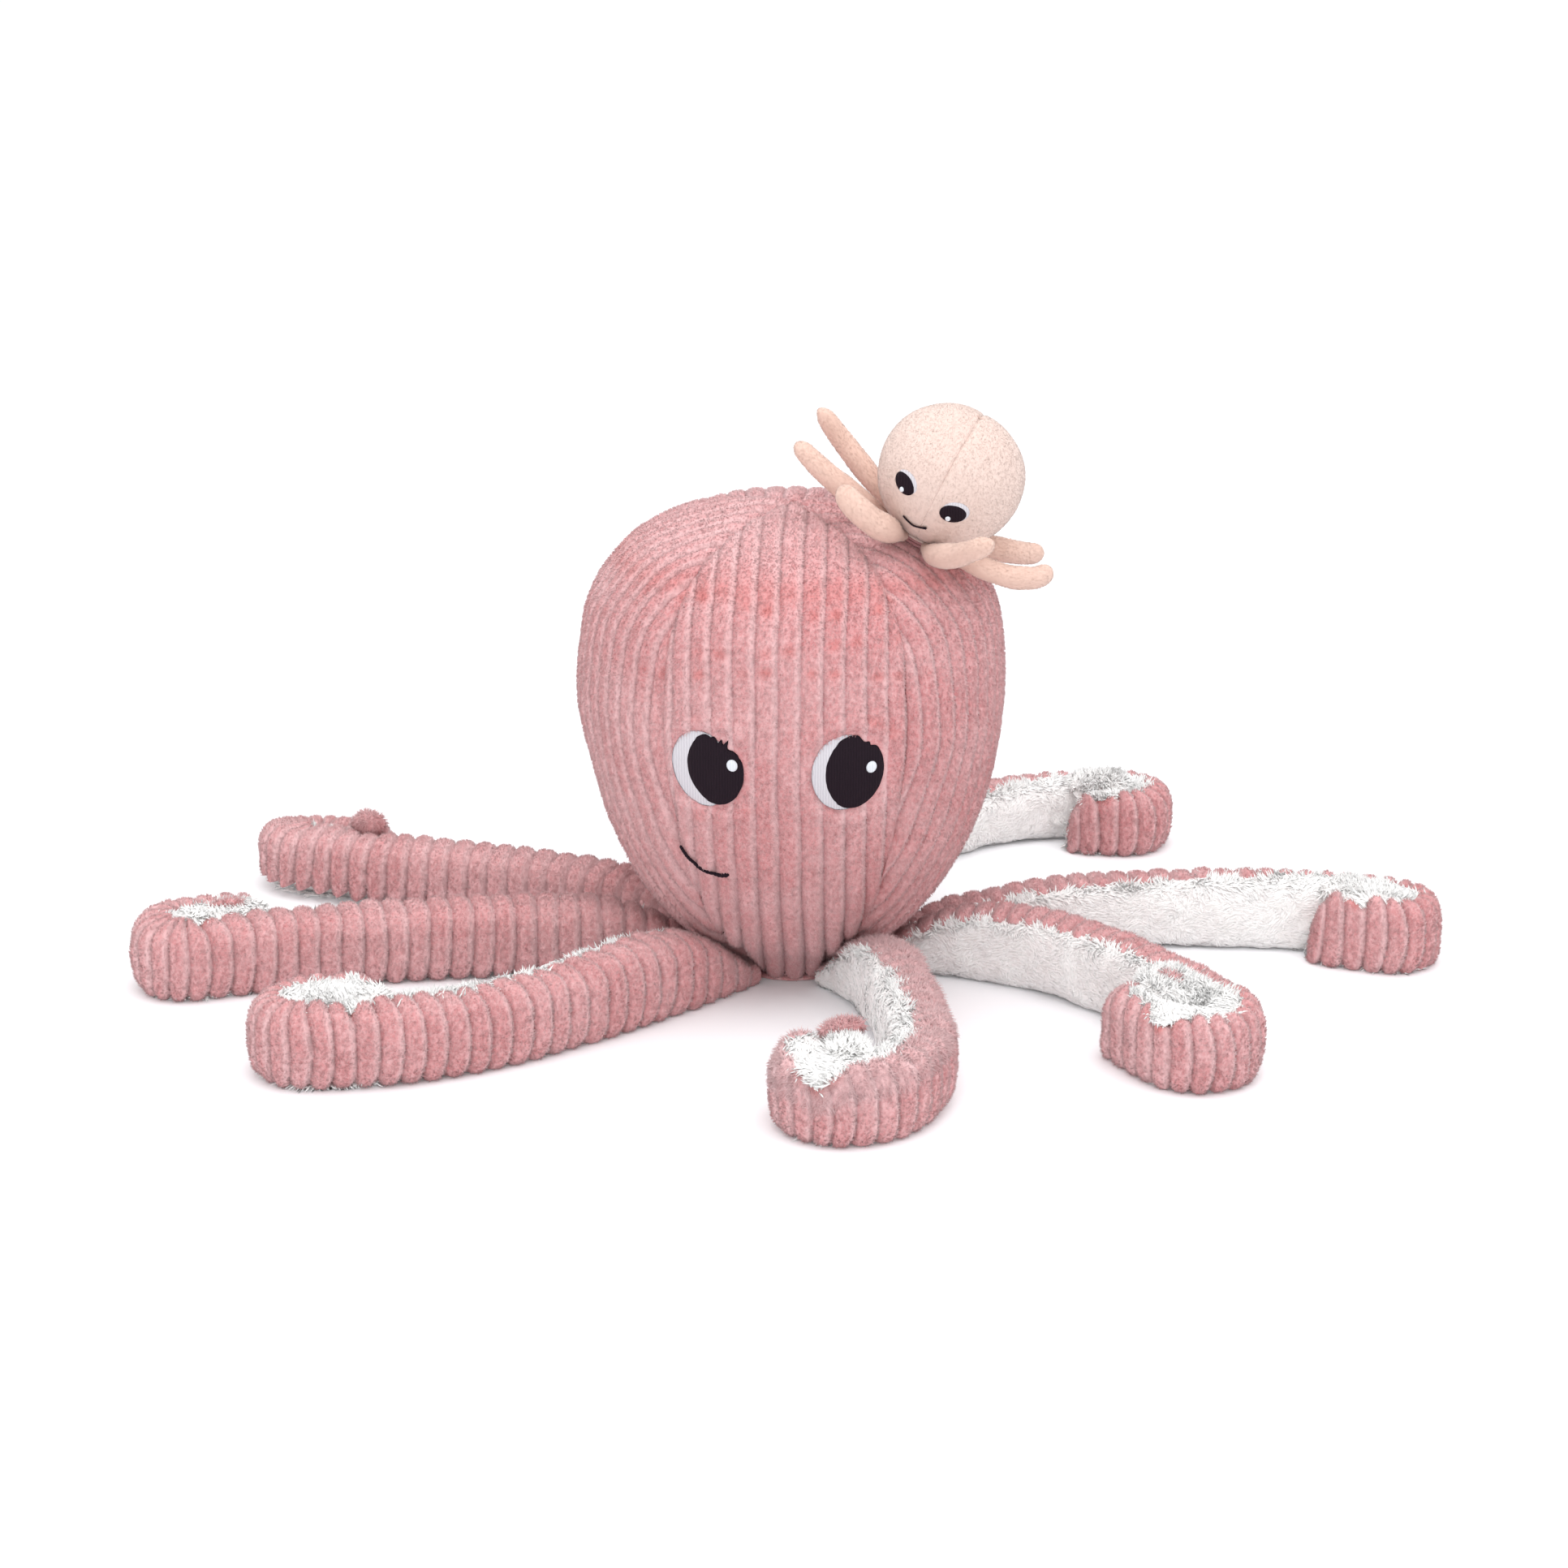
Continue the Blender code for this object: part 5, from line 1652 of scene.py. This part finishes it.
BABY_FRAME = baby_frame()
HOOK_LOW = SEWN_GAP + PATCH_THICKNESS + SEWN_GAP
BABY_DISC_LOW = HOOK_LOW + PATCH_THICKNESS + SEWN_GAP
BABY_BASE = BABY_DISC_LOW + BABY_DISC + SEWN_GAP
BABY_SPACING = 0.0005
BABY_ROWS = fit_count(0.062, BABY_SPACING)
baby_dome = Dome(BABY_PROFILE_SHARES, BABY_RADIUS, BABY_HEIGHT, BABY_BASE, BABY_ROWS)
print("baby octopus sits at", [round(value, 4) for value in BABY_FRAME.translation])

# %% Head of the baby octopus
# Locks on a square millimetre, their length and their width
BABY_PILE = (4.0, 0.00042, 0.00034)
BABY_SMOOTHNESS = 2.2
BABY_SEAM_VALLEYS = ((0.0005, 0.0006), (0.0002, 0.003))
BABY_LUMPS = ((0.0004, 0.012, 31), (0.00005, 0.0009, 32))


def make_baby_panel(name, seed):
    start, end = BABY_PANELS[name]
    columns = fit_count(BABY_RADIUS * math.radians(end - start), BABY_SPACING)
    azimuth = np.linspace(start, end, columns)[None, :]
    still = baby_dome.grid(azimuth, baby_dome.rows, 0.0)
    seam = baby_dome.radius[:, None] * np.radians(np.minimum(azimuth - start, end - azimuth))
    shown = 0.25 + 0.75 * rise(baby_dome.height, BABY_BASE + 0.020, BABY_BASE + 0.028)[:, None]
    lift = 0.0002 - shown * sum(deep * bell(seam, wide) for deep, wide in BABY_SEAM_VALLEYS)
    lift += layered(still, BABY_LUMPS)
    outer, inner = baby_dome.cloth(azimuth, lift, BABY_CLOTH + 0.0005)
    cloth = np.zeros((*outer.shape[:2], 3))
    pile = short_pile(outer, cloth, BABY_PILE, seed, smoothness=BABY_SMOOTHNESS)
    piece = new_piece(name + "_cloth", [sheet_part(outer, inner, cloth), pile], PEACH_PLUSH, BABY_FRAME)
    return finish_piece(piece, "baby", name)


for seed, name in enumerate(BABY_PANELS):
    print(name, len(make_baby_panel(name, 700 + seed).data.polygons), "faces")
make_head_filling(
    baby_dome, "baby_head_filling", "baby_head_stuffing", "baby", 0.0026, 64, BABY_FRAME
)
# Name, node, slot, body and material, and then the radius, the lower side and the thickness
BABY_DISCS = (
    (
        ("baby_base_disc_cloth", "baby_base_disc", "peach_plush", "baby", PEACH_PLUSH),
        (BABY_PROFILE_SHARES[0][1] * BABY_RADIUS, BABY_DISC_LOW, BABY_DISC),
    ),
    (
        ("baby_hook_tape", "baby_hook_patch", "patch", "baby", TAPE),
        (PATCH_RADIUS, HOOK_LOW, PATCH_THICKNESS),
    ),
    (
        ("head_loop_tape", "head_loop_patch", "patch", "head", TAPE),
        (PATCH_RADIUS, SEWN_GAP, PATCH_THICKNESS),
    ),
)
for names, (radius, low, thick) in BABY_DISCS:
    make_disc(*names, radius, low, low + thick, BABY_FRAME)

# %% Face of the baby octopus
BABY_EYE_ASIDE = 0.0096
BABY_EYE_HEIGHT = 0.0189
# For each side: turn of the oval, how much higher it sits, and the places of its white and glint
BABY_EYES = {
    "left": (-11.0, 0.0004, (0.0004, 0.0008), (0.0003, -0.0020)),
    "right": (15.0, -0.0004, (0.0005, 0.0006), (-0.0009, -0.0020)),
}
BABY_PUPIL_SIZE = (0.0089, 0.0065)
BABY_EYE_WHITE_SIZE = (0.0094, 0.0074)
BABY_GLINT_SIZE = (0.0017, 0.0018)
BABY_SMILE_CORNER = 255.5
BABY_SMILE_LOW = 0.0076
BABY_SMILE_SIZE = (0.0084, 0.0018)
BABY_SMILE_SHARES = (
    (0.0, 0.72),
    (0.17, 0.37),
    (0.34, 0.12),
    (0.49, 0.0),
    (0.64, 0.18),
    (0.8, 0.48),
    (1.0, 0.97),
)
BABY_SMILE_THREAD = 0.0007


for side, sign in (("left", -1.0), ("right", 1.0)):
    tilt, raised, white_place, glint_place = BABY_EYES[side]
    layers = (
        (BABY_EYE_WHITE_SIZE, white_place, 0.0001, PLAIN_RIM),
        (BABY_PUPIL_SIZE, (0.0, 0.0), 0.0004, PLAIN_RIM),
        (BABY_GLINT_SIZE, glint_place, 0.0008, PLAIN_RIM),
    )
    make_eye(
        "baby_" + side,
        baby_dome,
        "baby",
        270.0,
        sign * BABY_EYE_ASIDE,
        BABY_RADIUS,
        BABY_BASE + BABY_EYE_HEIGHT + raised,
        tilt,
        0.0005,
        layers,
        BABY_FRAME,
    )
make_smile(
    "baby_smile_stitching",
    "baby_smile_thread",
    "baby",
    baby_dome,
    BABY_SMILE_CORNER,
    BABY_BASE + BABY_SMILE_LOW,
    BABY_SMILE_SIZE,
    BABY_SMILE_SHARES,
    BABY_SMILE_THREAD,
    lambda azimuth, height: 0.0005 * np.ones_like(azimuth),
    BABY_FRAME,
)
print("baby's eyes", round(2000.0 * BABY_EYE_ASIDE, 1), "mm apart")

# %% [markdown]
# The baby's arms are plain stuffed tubes. Each one starts thin at the seam, swells, bends and
# ends round.

# %% Arms of the baby octopus
BABY_ARM_LENGTH = 0.037
BABY_ARM_GIRTH = 0.0082
BABY_ARM_SHARES = (
    (0.0, 0.40),
    (0.13, 0.60),
    (0.28, 0.88),
    (0.45, 1.0),
    (0.70, 0.98),
    (0.90, 0.92),
    (1.0, 0.80),
)
# Root azimuth, share of the length, heading turned at the tip, and rise of the tip as a share
BABY_ARMS = {
    "baby_front_arm": (296.0, 1.16, 20.0, 0.60),
    "baby_front_right_arm": (338.0, 1.12, 120.0, 0.18),
    "baby_mid_right_arm": (30.0, 0.98, 40.0, 0.02),
    "baby_back_right_arm": (75.0, 0.90, -10.0, 0.06),
    "baby_back_arm": (118.0, 0.90, 12.0, 0.06),
    "baby_back_left_arm": (160.0, 1.14, 44.0, 0.36),
    "baby_mid_left_arm": (203.0, 1.10, -30.0, 0.22),
    "baby_front_left_arm": (252.0, 0.93, -100.0, 0.30),
}
# Girth at the middle and at the tip, as shares of the plain arm's
BABY_ARM_FULLNESS = {
    "baby_back_left_arm": (0.94, 0.86),
    "baby_mid_left_arm": (0.96, 0.90),
    "baby_front_left_arm": (1.08, 1.08),
    "baby_front_arm": (1.0, 0.80),
    "baby_front_right_arm": (0.96, 0.86),
}
BABY_ROOT = BABY_PROFILE_SHARES[0][1] * BABY_RADIUS + 0.0008
BABY_ARM_REST = 0.0016
BABY_ROOT_BEND = 0.006
BABY_ARM_LUMPS = ((0.00045, 0.0075, 0), (0.00005, 0.0009, 1))
BABY_ARM_TIP = 0.12


def make_baby_arm(name, seed):
    azimuth, length_share, turned, rise_share = BABY_ARMS[name]
    length = length_share * BABY_ARM_LENGTH
    share = np.linspace(0.0, 1.0, 76)
    heading = azimuth + turned * share**2
    steps = headings((heading[1:] + heading[:-1]) / 2.0) * length / (len(share) - 1)
    root = BABY_ROOT * headings(azimuth)
    line = np.vstack([root, root + np.cumsum(steps, axis=0)])
    girth = smooth_line(BABY_ARM_SHARES, len(share))
    plain = np.interp(share, girth[:, 0], girth[:, 1]) * BABY_ARM_GIRTH / 2.0
    middle, tip = BABY_ARM_FULLNESS.get(name, (1.0, 0.92))
    end = np.clip((share - 1.0 + BABY_ARM_TIP) / BABY_ARM_TIP, 0.0, 1.0)
    radius = plain * np.interp(share, (0.0, 0.5, 1.0), (1.0, middle, tip))
    radius = radius * np.sqrt(np.maximum(1.0 - (0.99 * end) ** 2.3, 0.0))
    line[:, 2] = BABY_BASE - BABY_ARM_REST + rise_share * share**2 * length
    line[:, 2] += plain - plain[0]
    across = headings(heading - 90.0)
    upward = unit(np.cross(across, unit(np.gradient(line, axis=0))))
    ring = round_rings(across, upward, np.linspace(0.0, 2.0 * math.pi, 41))
    grid = line[:, None] + radius[:, None, None] * ring
    lift = np.minimum(layered(grid, BABY_ARM_LUMPS, seed), 0.3 * radius[:, None])
    grid = grid + lift[..., None] * ring
    grid[:, -1] = grid[:, 0]
    cloth = np.tile((0.0, 0.5, 0.0), (*grid.shape[:2], 1))
    pile = short_pile(grid[:, ::-1], cloth, BABY_PILE, seed, smoothness=BABY_SMOOTHNESS)
    skin = part_of(*closed_tube(grid[:, :-1]), cloth[:, :-1].reshape(-1, 3))
    piece = new_piece(name + "_cloth", [skin, pile], PEACH_PLUSH, BABY_FRAME)
    ends = [root, root + BABY_ROOT_BEND * headings(azimuth)]
    start, end = (BABY_FRAME @ Vector((*place[:2], BABY_BASE)) for place in ends)
    return finish_piece(piece, name, name, ("baby", start, end))


for number, name in enumerate(BABY_ARMS):
    print(name, len(make_baby_arm(name, 800 + 10 * number).data.polygons), "faces")

# %% [markdown]
# ## Floor and light
# A white studio: the floor and the background are white to the camera, and keep only the soft
# shadow under the toy. A broad lamp above and the white room light the cloth evenly.

# %% Floor, room and lamps
FLOOR_SIZE = 8.0
FLOOR_TONE = (0.90, 0.91, 0.93, 1.0)
FLOOR_GLOW = 0.06
ROOM_LIGHT = 1.06
BACKGROUND_LIGHT = 1.1


def make_floor():
    mesh = bpy.data.meshes.new("floor")
    half = FLOOR_SIZE / 2.0
    corners = [(-half, -half, 0.0), (half, -half, 0.0), (half, half, 0.0), (-half, half, 0.0)]
    mesh.from_pydata(corners, [], [(0, 1, 2, 3)])
    floor = add_to_scene("floor", mesh)
    material = bpy.data.materials.new("white_floor")
    material.use_nodes = True
    tree = material.node_tree
    tree.nodes.clear()
    matt = put(tree, "ShaderNodeBsdfDiffuse", {}, {"Color": FLOOR_TONE})
    glow = put(tree, "ShaderNodeEmission", {}, {"Strength": FLOOR_GLOW})
    bright = put(tree, "ShaderNodeAddShader", {}, {0: matt.outputs[0], 1: glow.outputs[0]})
    seen = put(tree, "ShaderNodeLightPath").outputs["Is Camera Ray"]
    links = {0: seen, 1: matt.outputs[0], 2: bright.outputs[0]}
    choose = put(tree, "ShaderNodeMixShader", {}, links)
    put(tree, "ShaderNodeOutputMaterial", {}, {"Surface": choose.outputs[0]})
    mesh.materials.append(material)
    return floor


def make_room():
    world = bpy.data.worlds.new("room")
    bpy.context.scene.world = world
    world.use_nodes = True
    tree = world.node_tree
    background = tree.nodes["Background"]
    background.inputs["Color"].default_value = (1.0, 1.0, 1.0, 1.0)
    path = put(tree, "ShaderNodeLightPath")
    seen = sums(tree, "MAXIMUM", path.outputs["Is Camera Ray"], path.outputs["Is Glossy Ray"])
    strength = sums(tree, "MULTIPLY_ADD", seen, BACKGROUND_LIGHT - ROOM_LIGHT, ROOM_LIGHT)
    tree.links.new(strength, background.inputs["Strength"])


def add_lamp(name, place, size, power):
    lamp = add_to_scene(name, bpy.data.lights.new(name, "AREA"))
    lamp.data.shape = "SQUARE"
    lamp.data.size = size
    lamp.data.energy = power
    lamp.location = place
    lamp.rotation_mode = "QUATERNION"
    lamp.rotation_quaternion = (Vector(place) - CAMERA_TARGET).to_track_quat("Z", "Y")


make_floor()
make_room()
add_lamp("overhead_lamp", (0.15, -0.35, 1.7), 1.5, 15.0)
add_lamp("front_lamp", (-0.3, -2.2, 0.75), 1.6, 4.8)
bpy.context.scene.view_settings.view_transform = "Standard"
